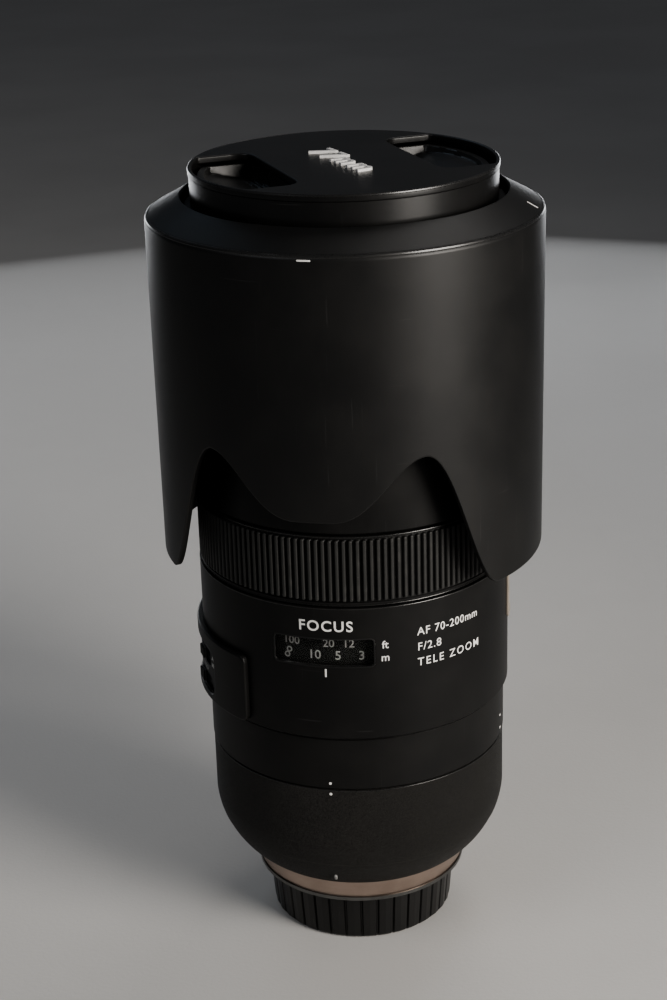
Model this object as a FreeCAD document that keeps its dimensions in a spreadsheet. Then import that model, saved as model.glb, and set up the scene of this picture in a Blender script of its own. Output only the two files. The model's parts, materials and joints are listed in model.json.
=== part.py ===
import FreeCAD, Part
import math
import os
from types import SimpleNamespace

import Sketcher
from FreeCAD import Placement, Rotation, Vector

# A tele zoom lens standing on its rear cap, with the front cap on and the petal hood reversed.
# The optical axis is +Z and the origin is the centre of the rear cap's outer face. An azimuth
# is counted from -Y, the side of the distance window, towards +X. Lengths are millimetres.

DIMENSIONS = {
    # Common clearances and walls
    "gap": 0.3,
    "fit_gap": 0.05,
    # Rear cap
    "rear_cap_chamfer": 0.8,
    "rear_cap_foot_radius": 25.5,
    "rear_cap_radius": 26.6,
    "rear_cap_bore": 24.9,
    "rear_cap_floor": 2.2,
    "rear_cap_top": 14.6,
    "claw_radius": 22.4,
    "claw_low": 11.8,
    "claw_high": 13.2,
    # Bayonet mount
    "mount_tube_bore": 19.9,
    "mount_tube_radius": 21.9,
    "mount_tube_low": 9.4,
    "lug_radius": 23.5,
    "lug_low": 9.6,
    "lug_high": 11.4,
    "flange_radius": 29.4,
    "flange_low": 14.9,
    "flange_high": 15.9,
    "mount_neck_radius": 23.6,
    "mount_neck_high": 20.0,
    "mount_screw_reach": 26.0,
    "mount_screw_radius": 0.9,
    "mount_screw_head_radius": 1.6,
    "mount_screw_head_height": 0.8,
    "mount_screw_tip": 24.6,
    "lock_hole_radius": 1.4,
    # Pale metal ring between mount and barrel
    "trim_ring_bore": 23.8,
    "trim_ring_low_radius": 29.0,
    "trim_ring_high_radius": 30.6,
    # Rear barrel
    "rear_barrel_low": 22.3,
    "rear_barrel_low_radius": 31.9,
    "rear_barrel_radius": 40.74,
    "rear_barrel_taper_high": 38.6,
    "rear_barrel_taper_bend": 23.0,
    "rear_barrel_lip_radius": 39.05,
    "rear_barrel_lip_high": 32.0,
    "rear_barrel_lip_step": 0.25,
    "barrel_chamfer": 0.4,
    "rear_barrel_high": 56.1,
    "rear_web_bore": 20.5,
    "rear_web_high": 25.2,
    "rear_web_inner_radius": 30.0,
    "rear_taper_inner_radius": 34.8,
    "rear_taper_inner_high": 33.0,
    "rear_taper_inner_top": 43.0,
    "collar_seat_radius": 38.9,
    "collar_seat_bore": 37.3,
    # Tripod collar, its lock and its foot
    "collar_bore": 39.2,
    "collar_radius": 40.95,
    "collar_low": 56.4,
    "collar_high": 71.5,
    "stem_half_width": 12.0,
    "stem_low": 57.0,
    "stem_high": 71.2,
    "foot_face": 64.0,
    "foot_plate_half_width": 15.5,
    "dovetail_half_width": 19.0,
    "dovetail_start": 67.0,
    "dovetail_end": 70.5,
    "foot_sole": 73.6,
    "foot_low": 50.0,
    "foot_high": 125.0,
    "tripod_hole_radius": 3.175,
    "tripod_hole_depth": 7.5,
    "tripod_hole_height": 92.0,
    "foot_screw_spread": 8.0,
    "foot_screw_low": 60.1,
    "foot_screw_high": 68.1,
    "foot_screw_radius": 1.5,
    "foot_screw_head_radius": 2.6,
    "foot_screw_head_height": 2.4,
    "foot_screw_tip": 55.0,
    "foot_screw_sink": 0.3,
    "lock_height": 64.0,
    "lock_boss_radius": 5.5,
    "lock_boss_reach": 45.7,
    "lock_shaft_radius": 2.0,
    "lock_shaft_start": 42.0,
    "lock_knob_radius": 6.0,
    "lock_knob_start": 46.0,
    "lock_knob_reach": 57.0,
    "lock_knob_foot": 0.4,
    "lock_knob_edge": 0.8,
    # Window barrel
    "window_barrel_step": 0.6,
    "window_barrel_low": 71.8,
    "window_barrel_foot_radius": 41.55,
    "window_barrel_radius": 42.14,
    "window_barrel_bore": 40.0,
    "window_barrel_floor": 74.4,
    "window_barrel_roof": 104.4,
    "window_barrel_high": 109.6,
    "focus_bearing_radius": 38.8,
    "focus_bearing_bore": 36.4,
    "focus_bearing_high": 132.0,
    "window_left": -14.3,
    "window_right": 12.9,
    "window_low": 92.8,
    "window_high": 101.1,
    "window_corner": 1.5,
    "window_glass_inner": 40.5,
    "window_glass_outer": 41.85,
    # Raised switch panel with four sliding switches
    "panel_radius": 43.75,
    "panel_low": 72.6,
    "panel_high": 91.9,
    "panel_half_width": 30.5,
    "panel_corner": 2.0,
    "switch_half_width": 2.25,
    "switch_half_height": 1.7,
    "switch_inner": 42.6,
    "switch_outer": 44.3,
    "switch_groove_depth": 0.5,
    "switch_groove_pitch": 1.45,
    "switch_slot_half_height": 2.1,
    # Blank metal plate on the right side
    "badge_radius": 42.85,
    "badge_half_width": 6.5,
    "badge_low": 91.0,
    "badge_high": 104.0,
    "badge_corner": 1.0,
    # Focus ring and distance scale
    "focus_ring_bore": 39.1,
    "focus_ring_radius": 41.75,
    "focus_ring_low": 109.9,
    "focus_ring_high": 129.2,
    "focus_ring_chamfer": 0.6,
    "focus_grip_seat": 40.4,
    "focus_grip_radius": 42.05,
    "focus_grip_low": 111.0,
    "focus_grip_high": 128.6,
    "scale_drum_bore": 38.5,
    "scale_drum_radius": 39.4,
    "scale_drum_high": 103.9,
    "motor_bore": 36.0,
    "motor_stator_high": 80.7,
    "motor_rotor_low": 81.0,
    "motor_rotor_high": 84.6,
    # Zoom ring and its cam tube
    "zoom_ring_bore": 39.0,
    "zoom_ring_radius": 41.75,
    "zoom_ring_low": 129.5,
    "zoom_ring_high": 190.0,
    "zoom_grip_seat": 40.2,
    "zoom_grip_radius": 41.95,
    "zoom_grip_low": 150.2,
    "zoom_grip_high": 188.4,
    "cam_tube_bore": 34.1,
    "cam_tube_radius": 35.4,
    "cam_tube_low": 92.0,
    "cam_tube_high": 176.0,
    "cam_key_half_width": 3.0,
    "cam_key_low": 166.0,
    "cam_key_high": 170.0,
    "cam_slot_half_width": 2.1,
    "zoom_turn": 72.0,
    # Fixed guide tube
    "guide_bore": 32.0,
    "guide_radius": 33.5,
    "guide_low": 34.0,
    "guide_high": 178.0,
    "guide_slot_half_width": 2.1,
    # Groups that slide in the guide tube
    "cell_lip": 2.0,
    "cell_radius": 31.6,
    "roller_radius": 1.8,
    "roller_root": 29.0,
    "roller_reach": 35.0,
    "variator_low": 150.0,
    "variator_high": 168.0,
    "variator_travel": 34.0,
    "variator_rim": 25.0,
    "compensator_low": 98.0,
    "compensator_high": 110.0,
    "compensator_travel": 6.0,
    "compensator_rim": 26.5,
    "focus_cell_low": 42.0,
    "focus_cell_high": 54.0,
    "focus_cell_rim": 26.0,
    # Stabiliser
    "stabiliser_bore": 22.0,
    "stabiliser_base_low": 60.0,
    "stabiliser_base_high": 63.0,
    "stabiliser_frame_radius": 30.6,
    "stabiliser_frame_bore": 24.5,
    "stabiliser_frame_high": 66.3,
    "stabiliser_cell_radius": 29.5,
    "stabiliser_cell_high": 77.0,
    "stabiliser_lip": 1.5,
    "stabiliser_wall": 2.0,
    "stabiliser_plate": 3.0,
    # Iris
    "iris_bore": 19.5,
    "iris_base_low": 84.0,
    "iris_base_high": 85.4,
    "blade_inner": 20.0,
    "blade_outer": 26.5,
    "blade_sweep": 60.0,
    "blade_thickness": 0.18,
    "blade_pitch": 0.3,
    "blade_low": 85.6,
    "blade_pivot_reach": 29.2,
    "blade_pivot_radius": 0.7,
    "blade_ear_radius": 1.6,
    "iris_ring_bore": 25.5,
    "iris_ring_low": 88.6,
    "iris_ring_high": 89.8,
    # Rear group and electronics
    "rear_cell_foot": 13.0,
    "rear_cell_neck_radius": 19.4,
    "rear_cell_neck_bore": 17.0,
    "rear_cell_radius": 29.0,
    "rear_cell_bore": 24.0,
    "rear_cell_step": 27.0,
    "rear_cell_high": 32.6,
    "contact_block_inner": 15.6,
    "contact_block_low": 10.8,
    "contact_pin_reach": 17.5,
    "contact_pin_radius": 0.6,
    "contact_pin_low": 10.2,
    "board_slot_half_width": 0.9,
    "board_bore": 33.8,
    "board_radius": 37.0,
    "board_low": 46.0,
    "board_high": 47.4,
    # Front barrel and front group
    "front_barrel_neck_radius": 38.7,
    "front_barrel_radius": 41.5,
    "front_barrel_shoulder": 190.3,
    "front_barrel_bore": 38.0,
    "front_barrel_floor": 180.5,
    "front_rim": 206.2,
    "thread_radius": 38.5,
    "thread_low": 199.4,
    "hood_groove_radius": 40.6,
    "hood_groove_low": 198.4,
    "hood_groove_high": 200.4,
    "hood_notch_half_width": 4.8,
    "front_lens_rim": 36.3,
    "front_cell_lip": 34.4,
    "front_cell_lip_high": 182.0,
    "front_cell_high": 197.0,
    "retaining_ring_bore": 35.3,
    "retaining_ring_low": 197.2,
    "retaining_ring_high": 199.2,
    # Petal hood, reversed
    "hood_bore": 41.9,
    "hood_mouth_radius": 42.34,
    "hood_mouth": 208.7,
    "hood_mouth_edge": 208.2,
    "hood_shoulder_radius": 50.8,
    "hood_shoulder": 204.1,
    "hood_shoulder_bend": 1.2,
    "hood_side_high": 203.0,
    "hood_radius": 51.49,
    "hood_rim_radius": 51.2,
    "hood_wall": 1.7,
    "hood_roof_drop": 0.9,
    "hood_rim": 112.0,
    "hood_collar_radius": 44.0,
    "hood_collar_low": 196.6,
    "hood_collar_high": 205.3,
    "hood_tab_radius": 40.9,
    "hood_tab_half_width": 4.0,
    "hood_tab_low": 198.7,
    "hood_tab_high": 200.1,
    "short_petal_tip": 136.5,
    "long_petal_tip": 113.2,
    "petal_notch_top": 152.2,
    "short_petal_flat": 5.0,
    "petal_notch": 32.0,
    "long_petal_flat": 57.6,
    # Centre-pinch front cap
    "cap_radius": 39.85,
    "cap_seat": 206.5,
    "cap_top": 215.9,
    "cap_edge": 0.5,
    "cap_skirt_radius": 37.2,
    "cap_skirt_bore": 35.8,
    "cap_skirt_low": 203.6,
    "cap_floor": 204.8,
    "cap_step": 208.0,
    "cap_bore": 38.0,
    "cap_roof": 214.1,
    "recess_radius": 38.8,
    "recess_start": 18.7,
    "recess_half_width": 21.0,
    "tab_radius": 37.5,
    "tab_low": 208.1,
    "tab_high": 209.5,
    "tab_wall_high": 213.7,
    "tab_half_width": 20.6,
    "tab_wall_inner": 16.5,
    "tab_wall_outer": 18.3,
    "tab_wall_half_width": 18.0,
    "tab_leg_inner": 33.2,
    "tab_leg_outer": 35.0,
    "tab_leg_low": 205.0,
    "tab_leg_half_width": 5.0,
    "tab_claw_radius": 38.3,
    "tab_claw_high": 206.0,
    "claw_window_half_width": 5.5,
    "claw_window_low": 204.85,
    "claw_window_high": 206.3,
    "spring_radius": 1.6,
    "spring_bore": 1.1,
    "spring_spread": 6.0,
    "spring_height": 211.6,
    "spring_reach": 16.2,
}

# How far a cutting shape runs past what it cuts, and how deep a joined shape is buried
OVERRUN = 1.0
DEEP_OVERRUN = 5.0
OVERLAP = 0.5
# Distances from the axis that reach through any barrel wall, from outside to inside
THROUGH_WALL = (-60.0, -25.0)

# Each element's top face and its radius, then its bottom face and its radius. Faces are heights
# above the cell's foot; a radius is 0 where the face is flat and negative where it is hollow.
LENSES = {
    "rear_element_1": (7.5, 60, 1.0, 0),
    "rear_element_2": (19.3, 0, 14.2, 0),
    "focus_element_1": (11.0, 80, 5.5, 0),
    "focus_element_2": (5.5, 0, 3.5, -250),
    "stabiliser_element": (8.9, -120, 1.5, 0),
    "compensator_element": (11.0, 90, 2.0, 0),
    "variator_element_1": (14.5, -70, 12.5, -90),
    "variator_element_2": (7.5, -60, 2.0, 0),
    "front_element_1": (20.0, 130, 13.5, 0),
    "front_element_2": (12.9, 90, 8.5, -110),
    "front_element_3": (7.6, 120, 0.0, 0),
}

MOUNT_SCREW_AZIMUTHS = (45, 135, 225, 315)
LUG_AZIMUTHS = (0, 120, 240)
LUG_ANGLE = 50
LOCK_HOLE_AZIMUTH = 90
PANEL_AZIMUTH = -76
SWITCH_PLACES = {
    "focus_mode_switch": (-62, 84.2),
    "focus_limit_switch": (-90, 84.2),
    "stabiliser_switch": (-90, 76.8),
    "stabiliser_mode_switch": (-62, 76.8),
}
SWITCH_SLOT_HALF_WIDTHS = {
    "focus_mode_switch": 4.3,
    "focus_limit_switch": 4.3,
    "stabiliser_switch": 4.3,
    "stabiliser_mode_switch": 5.6,
}
BADGE_AZIMUTH = 97.5
FOOT_AZIMUTH = 180
LOCK_AZIMUTH = 146
ROLLER_AZIMUTHS = (0, 120, 240)
COMPENSATOR_TURN = 60
BLADE_COUNT = 9
HOOD_TAB_AZIMUTHS = (60, 180, 300)
HOOD_UNLOCK_TURN = 55
PINCH_AZIMUTH = 121
PETAL_SHARPNESS = 1.15
BLADE_LEAD = 4
CONTACT_AZIMUTH = 200
CONTACT_SWEEP = 84
CONTACT_COUNT = 10
PETAL_POINTS = 120

UP = Vector(0, 0, 1)

doc = FreeCAD.newDocument("TeleZoomLens")
pieces = []


class Size:
    """A length with both its value and the sheet expression that gives it."""

    def __init__(self, value, text):
        self.value = value
        self.text = text

    def __add__(self, other):
        return Size(self.value + value_of(other), f"({self.text} + {text_of(other)})")

    def __radd__(self, other):
        return self + other

    def __sub__(self, other):
        return Size(self.value - value_of(other), f"({self.text} - {text_of(other)})")

    def __rsub__(self, other):
        return Size(value_of(other) - self.value, f"({text_of(other)} - {self.text})")

    def __mul__(self, other):
        return Size(self.value * value_of(other), f"({self.text} * {text_of(other)})")

    def __rmul__(self, other):
        return self * other

    def __truediv__(self, other):
        return Size(self.value / value_of(other), f"({self.text} / {text_of(other)})")

    def __neg__(self):
        return Size(-self.value, f"(-{self.text})")


def value_of(size):
    return size.value if isinstance(size, Size) else float(size)


def text_of(size):
    return size.text if isinstance(size, Size) else repr(float(size))


def make_sheet(dimensions):
    """Writes one row per driving dimension and returns them as named sizes."""
    sheet = doc.addObject("Spreadsheet::Sheet", "Dims")
    sizes = SimpleNamespace()
    for row, (alias, number) in enumerate(dimensions.items(), start=1):
        sheet.set(f"A{row}", alias.replace("_", " "))
        sheet.set(f"B{row}", str(number))
        sheet.setAlias(f"B{row}", alias)
        setattr(sizes, alias, Size(number, f"Dims.{alias}"))
    doc.recompute()
    return sizes


D = make_sheet(DIMENSIONS)


def bind(item, prop, size):
    """Sets a property from a size and keeps it tied to the sheet."""
    item.setExpression(prop, text_of(size))


def keep(item, label):
    """Names a finished sub-part and puts it on the list of pieces."""
    item.Label = label
    pieces.append(item)
    return item


def swing(x, y, azimuth):
    """Turns a point of the front side (-Y) to the given azimuth."""
    turn = math.radians(azimuth)
    cosine = Size(math.cos(turn), f"cos({azimuth} deg)")
    sine = Size(math.sin(turn), f"sin({azimuth} deg)")
    return cosine * x - sine * y, sine * x + cosine * y


def place(item, x, y, height, rotation):
    """Sets a Placement whose base follows the sheet."""
    item.Placement = Placement(Vector(value_of(x), value_of(y), value_of(height)), rotation)
    bind(item, "Placement.Base.x", x)
    bind(item, "Placement.Base.y", y)
    bind(item, "Placement.Base.z", height)
    return item


def block(name, x_span, y_span, z_span, azimuth=0):
    """A box given by its spans on the front side, swung to an azimuth."""
    box = doc.addObject("Part::Box", name)
    bind(box, "Length", x_span[1] - x_span[0])
    bind(box, "Width", y_span[1] - y_span[0])
    bind(box, "Height", z_span[1] - z_span[0])
    x, y = swing(x_span[0], y_span[0], azimuth)
    return place(box, x, y, z_span[0], Rotation(UP, azimuth))


def upright_rod(name, radius, low, high, reach=0.0, azimuth=0):
    """A cylinder along Z whose centre stands at a reach and an azimuth."""
    rod = doc.addObject("Part::Cylinder", name)
    bind(rod, "Radius", radius)
    bind(rod, "Height", high - low)
    x, y = swing(0.0, -reach, azimuth)
    return place(rod, x, y, low, Rotation())


def radial_rod(name, radius, start, end, height, azimuth, side=0.0):
    """A cylinder that points away from the axis, offset sideways if side is given."""
    rod = doc.addObject("Part::Cylinder", name)
    bind(rod, "Radius", radius)
    bind(rod, "Height", end - start)
    x, y = swing(side, -start, azimuth)
    return place(rod, x, y, height, Rotation(UP, azimuth) * Rotation(Vector(1, 0, 0), 90))


def fused(name, items):
    item = doc.addObject("Part::MultiFuse", name)
    item.Shapes = list(items)
    return item


def shared(name, items):
    item = doc.addObject("Part::MultiCommon", name)
    item.Shapes = list(items)
    return item


def without(name, base, tools):
    """The base with every tool cut away."""
    tools = list(tools)
    item = doc.addObject("Part::Cut", name)
    item.Base = base
    item.Tool = tools[0] if len(tools) == 1 else fused(f"{name}_tools", tools)
    return item


def together(name, items):
    """Separate solids of one kind, kept in one node."""
    item = doc.addObject("Part::Compound", name)
    item.Links = list(items)
    return item


def edge_between(start, end, bend):
    """A line, or with a bend radius an arc, and which of its ends comes first."""
    if not value_of(bend):
        return Part.LineSegment(start, end), 1, 2
    chord = end - start
    radius = abs(value_of(bend))
    normal = Vector(-chord.y, chord.x, 0).normalize() * math.copysign(1.0, value_of(bend))
    depth = math.sqrt(radius * radius - chord.Length * chord.Length / 4)
    centre = start + chord * 0.5 + normal * depth
    first = math.atan2(start.y - centre.y, start.x - centre.x)
    last = math.atan2(end.y - centre.y, end.x - centre.x)
    circle = Part.Circle(centre, UP, radius)
    if (last - first) % (2 * math.pi) < math.pi:
        return Part.ArcOfCircle(circle, first, last), 1, 2
    return Part.ArcOfCircle(circle, last, first), 2, 1


def draw(sketch, outline):
    """Draws a closed outline and ties every corner and bend to the sheet.

    A corner is (x, y) or (x, y, bend); a bend shapes the edge that leaves its corner.
    """
    corners = [tuple(corner) + (0.0,) * (3 - len(corner)) for corner in outline]
    points = [Vector(value_of(x), value_of(y), 0) for x, y, _ in corners]
    ends = []
    for index, (_, _, bend) in enumerate(corners):
        following = points[(index + 1) % len(points)]
        curve, first, last = edge_between(points[index], following, bend)
        sketch.addGeometry(curve, False)
        ends.append((first, last))
    for index, (x, y, bend) in enumerate(corners):
        first, last = ends[index]
        after = (index + 1) % len(corners)
        sketch.addConstraint(Sketcher.Constraint("Coincident", index, last, after, ends[after][0]))
        for kind, size, axis in (("DistanceX", x, -2), ("DistanceY", y, -1)):
            if value_of(size) == 0:
                sketch.addConstraint(Sketcher.Constraint("PointOnObject", index, first, axis))
            else:
                number = sketch.addConstraint(Sketcher.Constraint(kind, index, first, value_of(size)))
                sketch.setExpression(f"Constraints[{number}]", text_of(size))
        if value_of(bend):
            radius = bend if value_of(bend) > 0 else -bend
            number = sketch.addConstraint(Sketcher.Constraint("Radius", index, value_of(radius)))
            sketch.setExpression(f"Constraints[{number}]", text_of(radius))


def turned(name, outline):
    """A body of revolution about Z from a half-section of (radius, height) corners."""
    body = doc.addObject("PartDesign::Body", name)
    plane = next(item for item in body.Origin.OriginFeatures if item.Role == "XZ_Plane")
    sketch = body.newObject("Sketcher::SketchObject", f"{name}_section")
    sketch.AttachmentSupport = [(plane, "")]
    sketch.MapMode = "FlatFace"
    draw(sketch, outline)
    turn = body.newObject("PartDesign::Revolution", f"{name}_turn")
    turn.Profile = sketch
    turn.ReferenceAxis = (sketch, ["V_Axis"])
    turn.Angle = 360
    return body


def ring(name, bore, radius, low, high):
    return turned(name, [(bore, low), (radius, low), (radius, high), (bore, high)])


def sector(name, bore, radius, low, high, azimuth, sweep):
    """Part of a ring, centred on an azimuth."""
    rods = []
    for part, size in (("outer", radius), ("inner", bore)):
        rod = upright_rod(f"{name}_{part}", size, low, high)
        rod.Angle = sweep
        rod.Placement.Rotation = Rotation(UP, azimuth - 90 - sweep / 2)
        rods.append(rod)
    return without(name, rods[0], rods[1:])


def prism(name, outline, near, far, azimuth):
    """An upright outline of (sideways, height) corners, pushed away from the axis."""
    sketch = doc.addObject("Sketcher::SketchObject", f"{name}_outline")
    draw(sketch, outline)
    push = doc.addObject("Part::Extrusion", name)
    push.Base = sketch
    push.DirMode = "Custom"
    push.Dir = UP
    bind(push, "LengthFwd", far - near)
    push.Solid = True
    x, y = swing(0.0, -near, azimuth)
    return place(push, x, y, 0.0, Rotation(UP, azimuth) * Rotation(Vector(1, 0, 0), 90))


def rounded_block(name, x_span, y_span, z_span, corner, azimuth=0):
    """A box whose four edges along its own Y are rounded."""
    box = block(f"{name}_box", x_span, y_span, z_span)
    doc.recompute()
    edges = []
    for number, edge in enumerate(box.Shape.Edges, start=1):
        if abs(edge.tangentAt(edge.FirstParameter).y) > 0.9:
            edges.append((number, value_of(corner), value_of(corner)))
    item = doc.addObject("Part::Fillet", name)
    item.Base = box
    item.Edges = edges
    item.Placement = Placement(Vector(), Rotation(UP, azimuth))
    return item


def lens_element(name, rim, foot):
    """A glass element on the axis, whose faces stand above the foot of its cell."""
    def sag(radius):
        depth = abs(radius) - math.sqrt(radius * radius - rim.value * rim.value)
        return Size(depth, f"({abs(radius)} - sqrt({radius * radius} - {rim.text} * {rim.text}))")

    top_height, top_radius, bottom_height, bottom_radius = LENSES[name]
    top, bottom = foot + top_height, foot + bottom_height
    low = bottom - sag(bottom_radius) if bottom_radius < 0 else bottom
    high = top + sag(top_radius) if top_radius < 0 else top
    item = upright_rod(f"{name}_blank", rim, low, high)
    for face, radius, vertex, side in (("top", top_radius, top, -1), ("bottom", bottom_radius, bottom, 1)):
        if not radius:
            continue
        ball = doc.addObject("Part::Sphere", f"{name}_{face}_sphere")
        bind(ball, "Radius", abs(radius))
        place(ball, 0.0, 0.0, vertex + side * radius, Rotation())
        if radius > 0:
            item = shared(f"{name}_{face}", [item, ball])
        else:
            item = without(f"{name}_{face}", item, [ball])
    return item


def with_rollers(name, cell, height, turn):
    """Adds three radial cam rollers to a sliding cell."""
    rollers = []
    for number, azimuth in enumerate(ROLLER_AZIMUTHS, start=1):
        label = f"{name}_roller_{number}"
        rollers.append(radial_rod(label, D.roller_radius, D.roller_root, D.roller_reach,
                                  height, azimuth + turn))
    return fused(name, [cell] + rollers)


def straight_slots(name, top, travel, turn):
    """Slots along Z that let a cell's rollers pass through the guide tube."""
    slots = []
    width = D.guide_slot_half_width
    for number, azimuth in enumerate(ROLLER_AZIMUTHS, start=1):
        label = f"{name}_{number}"
        span_x = (-width, width)
        span_y = (-D.cam_tube_bore, -D.cell_radius)
        slots.append(block(label, span_x, span_y, (top - travel, top), azimuth + turn))
        for end, height in (("low", top - travel), ("high", top)):
            slots.append(radial_rod(f"{label}_{end}", width, D.cell_radius, D.cam_tube_bore,
                                    height, azimuth + turn))
    return slots


def helical_slots(name, top, travel, turn):
    """Slots that climb by the travel while they go round by the zoom angle."""
    low = (top - travel).value
    width = D.cam_slot_half_width.value
    middle = (D.cam_tube_bore.value + D.cam_tube_radius.value) / 2
    reach = D.cam_tube_radius.value - D.cam_tube_bore.value
    pitch = travel.value * 360 / D.zoom_turn.value
    helix = Part.makeHelix(pitch, travel.value, middle)
    along = Vector(0, 2 * math.pi * middle, pitch).normalize()
    across = along.cross(Vector(1, 0, 0))
    start = Vector(middle, 0, 0)
    corners = []
    for out, side in ((-1, -1), (1, -1), (1, 1), (-1, 1), (-1, -1)):
        corners.append(start + Vector(out * reach, 0, 0) + across * (side * width))
    profile = Part.makePolygon(corners)
    track = Part.Wire(helix.Edges).makePipeShell([profile], True, True)
    shapes = [track]
    for end_turn, height in ((0.0, 0.0), (D.zoom_turn.value, travel.value)):
        outward = Rotation(UP, end_turn).multVec(Vector(1, 0, 0))
        shapes.append(Part.makeCylinder(width, 2 * reach, outward * (middle - reach) + UP * height,
                                        outward))
    slot = shapes[0].fuse(shapes[1:])
    slots = []
    for azimuth in ROLLER_AZIMUTHS:
        copy = slot.copy()
        copy.rotate(Vector(), UP, azimuth + turn - 90 - D.zoom_turn.value)
        copy.translate(UP * low)
        slots.append(copy)
    item = doc.addObject("Part::Feature", name)
    item.Shape = Part.makeCompound(slots)
    return item


def smooth_step(share):
    return (1 - math.cos(math.pi * share)) / 2


def petal_edge(azimuth):
    """Height of the hood's edge: short petals front and back, long petals at the sides."""
    fold = abs((azimuth + 90) % 180 - 90)
    flat, notch, long_flat = D.short_petal_flat.value, D.petal_notch.value, D.long_petal_flat.value
    short_tip, long_tip, top = D.short_petal_tip.value, D.long_petal_tip.value, D.petal_notch_top.value
    if fold <= flat:
        return short_tip
    if fold <= notch:
        share = ((fold - flat) / (notch - flat)) ** PETAL_SHARPNESS
        return short_tip + (top - short_tip) * smooth_step(share)
    if fold <= long_flat:
        share = (fold - notch) / (long_flat - notch)
        return top + (long_tip - top) * smooth_step(share)
    return long_tip


def petal_cutter(name):
    """Everything below the hood's wavy edge, between two radii either side of its wall."""
    inside = D.hood_collar_radius.value
    outside = 2 * D.hood_radius.value - inside
    floor = D.hood_rim.value - DEEP_OVERRUN

    def loop(radius, height_at):
        curve = Part.BSplineCurve()
        points = []
        for number in range(PETAL_POINTS):
            azimuth = 360 * number / PETAL_POINTS
            x = radius * math.sin(math.radians(azimuth))
            y = -radius * math.cos(math.radians(azimuth))
            points.append(Vector(x, y, height_at(azimuth)))
        curve.interpolate(points, PeriodicFlag=True)
        return curve.toShape()

    corners = [loop(inside, petal_edge), loop(outside, petal_edge),
               loop(outside, lambda azimuth: floor), loop(inside, lambda azimuth: floor)]
    faces = []
    for number, edge in enumerate(corners):
        faces.append(Part.makeRuledSurface(edge, corners[(number + 1) % 4]))
    shell = Part.makeShell(faces)
    solid = Part.makeSolid(shell)
    if solid.Volume < 0:
        solid.reverse()
    item = doc.addObject("Part::Feature", name)
    item.Shape = solid
    return item


# ---------------------------------------------------------------- rear end

def make_rear_cap():
    cup = turned("rear_cap_cup", [
        (0, 0), (D.rear_cap_foot_radius - D.rear_cap_chamfer, 0),
        (D.rear_cap_foot_radius, D.rear_cap_chamfer),
        (D.rear_cap_radius, D.rear_cap_top), (D.rear_cap_bore, D.rear_cap_top),
        (D.rear_cap_bore, D.rear_cap_floor), (0, D.rear_cap_floor)])
    claws = []
    for number, azimuth in enumerate(LUG_AZIMUTHS, start=1):
        claws.append(sector(f"rear_cap_claw_{number}", D.claw_radius, D.rear_cap_bore + D.gap,
                            D.claw_low, D.claw_high, azimuth, LUG_ANGLE))
    keep(fused("rear_cap_solid", [cup] + claws), "rear_cap")


def mount_screw_rods(name, extra, low):
    """The four screws through the flange, or their holes when extra is given."""
    rods = []
    for number, azimuth in enumerate(MOUNT_SCREW_AZIMUTHS, start=1):
        label = f"{name}_{number}"
        rod = upright_rod(f"{label}_shank", D.mount_screw_radius + extra,
                          D.flange_low + D.mount_screw_head_height if low is None else low,
                          D.mount_screw_tip + extra, D.mount_screw_reach, azimuth)
        rods.append(rod)
    return rods


def mount_screw_heads(name, extra):
    heads = []
    for number, azimuth in enumerate(MOUNT_SCREW_AZIMUTHS, start=1):
        head = doc.addObject("Part::Cone", f"{name}_{number}")
        bind(head, "Radius1", D.mount_screw_head_radius + extra)
        bind(head, "Radius2", D.mount_screw_radius + extra)
        bind(head, "Height", D.mount_screw_head_height)
        x, y = swing(0.0, -D.mount_screw_reach, azimuth)
        heads.append(place(head, x, y, D.flange_low, Rotation()))
    return heads


def make_bayonet_mount():
    tube = turned("bayonet_tube", [
        (D.mount_tube_bore, D.mount_tube_low), (D.mount_tube_radius, D.mount_tube_low),
        (D.mount_tube_radius, D.flange_low), (D.flange_radius, D.flange_low),
        (D.flange_radius, D.flange_high), (D.mount_neck_radius, D.flange_high),
        (D.mount_neck_radius, D.mount_neck_high), (D.mount_tube_bore, D.mount_neck_high)])
    lugs = []
    for number, azimuth in enumerate(LUG_AZIMUTHS, start=1):
        lugs.append(sector(f"mount_lug_{number}", D.mount_tube_radius - D.gap, D.lug_radius,
                           D.lug_low, D.lug_high, azimuth, LUG_ANGLE))
    body = fused("bayonet_body", [tube] + lugs)
    holes = mount_screw_rods("flange_hole", D.fit_gap, D.flange_low - OVERRUN)
    sinks = mount_screw_heads("flange_sink", D.fit_gap)
    lock = upright_rod("lock_hole", D.lock_hole_radius, D.flange_low - OVERRUN,
                       D.flange_high + OVERRUN, D.mount_screw_reach, LOCK_HOLE_AZIMUTH)
    keep(without("bayonet_solid", body, holes + sinks + [lock]), "bayonet_mount")


def make_mount_screws():
    shanks = mount_screw_rods("mount_screw", 0.0, None)
    heads = mount_screw_heads("mount_screw_head", 0.0)
    screws = []
    for number, (shank, head) in enumerate(zip(shanks, heads), start=1):
        screws.append(fused(f"mount_screw_{number}", [shank, head]))
    keep(together("mount_screw_set", screws), "mount_screws")


def make_trim_ring():
    body = turned("trim_ring_body", [
        (D.trim_ring_bore, D.flange_high), (D.trim_ring_low_radius, D.flange_high),
        (D.trim_ring_high_radius, D.rear_barrel_low), (D.trim_ring_bore, D.rear_barrel_low)])
    keep(without("trim_ring_solid", body,
                 mount_screw_rods("trim_ring_hole", D.fit_gap, D.flange_low)), "trim_ring")


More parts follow.
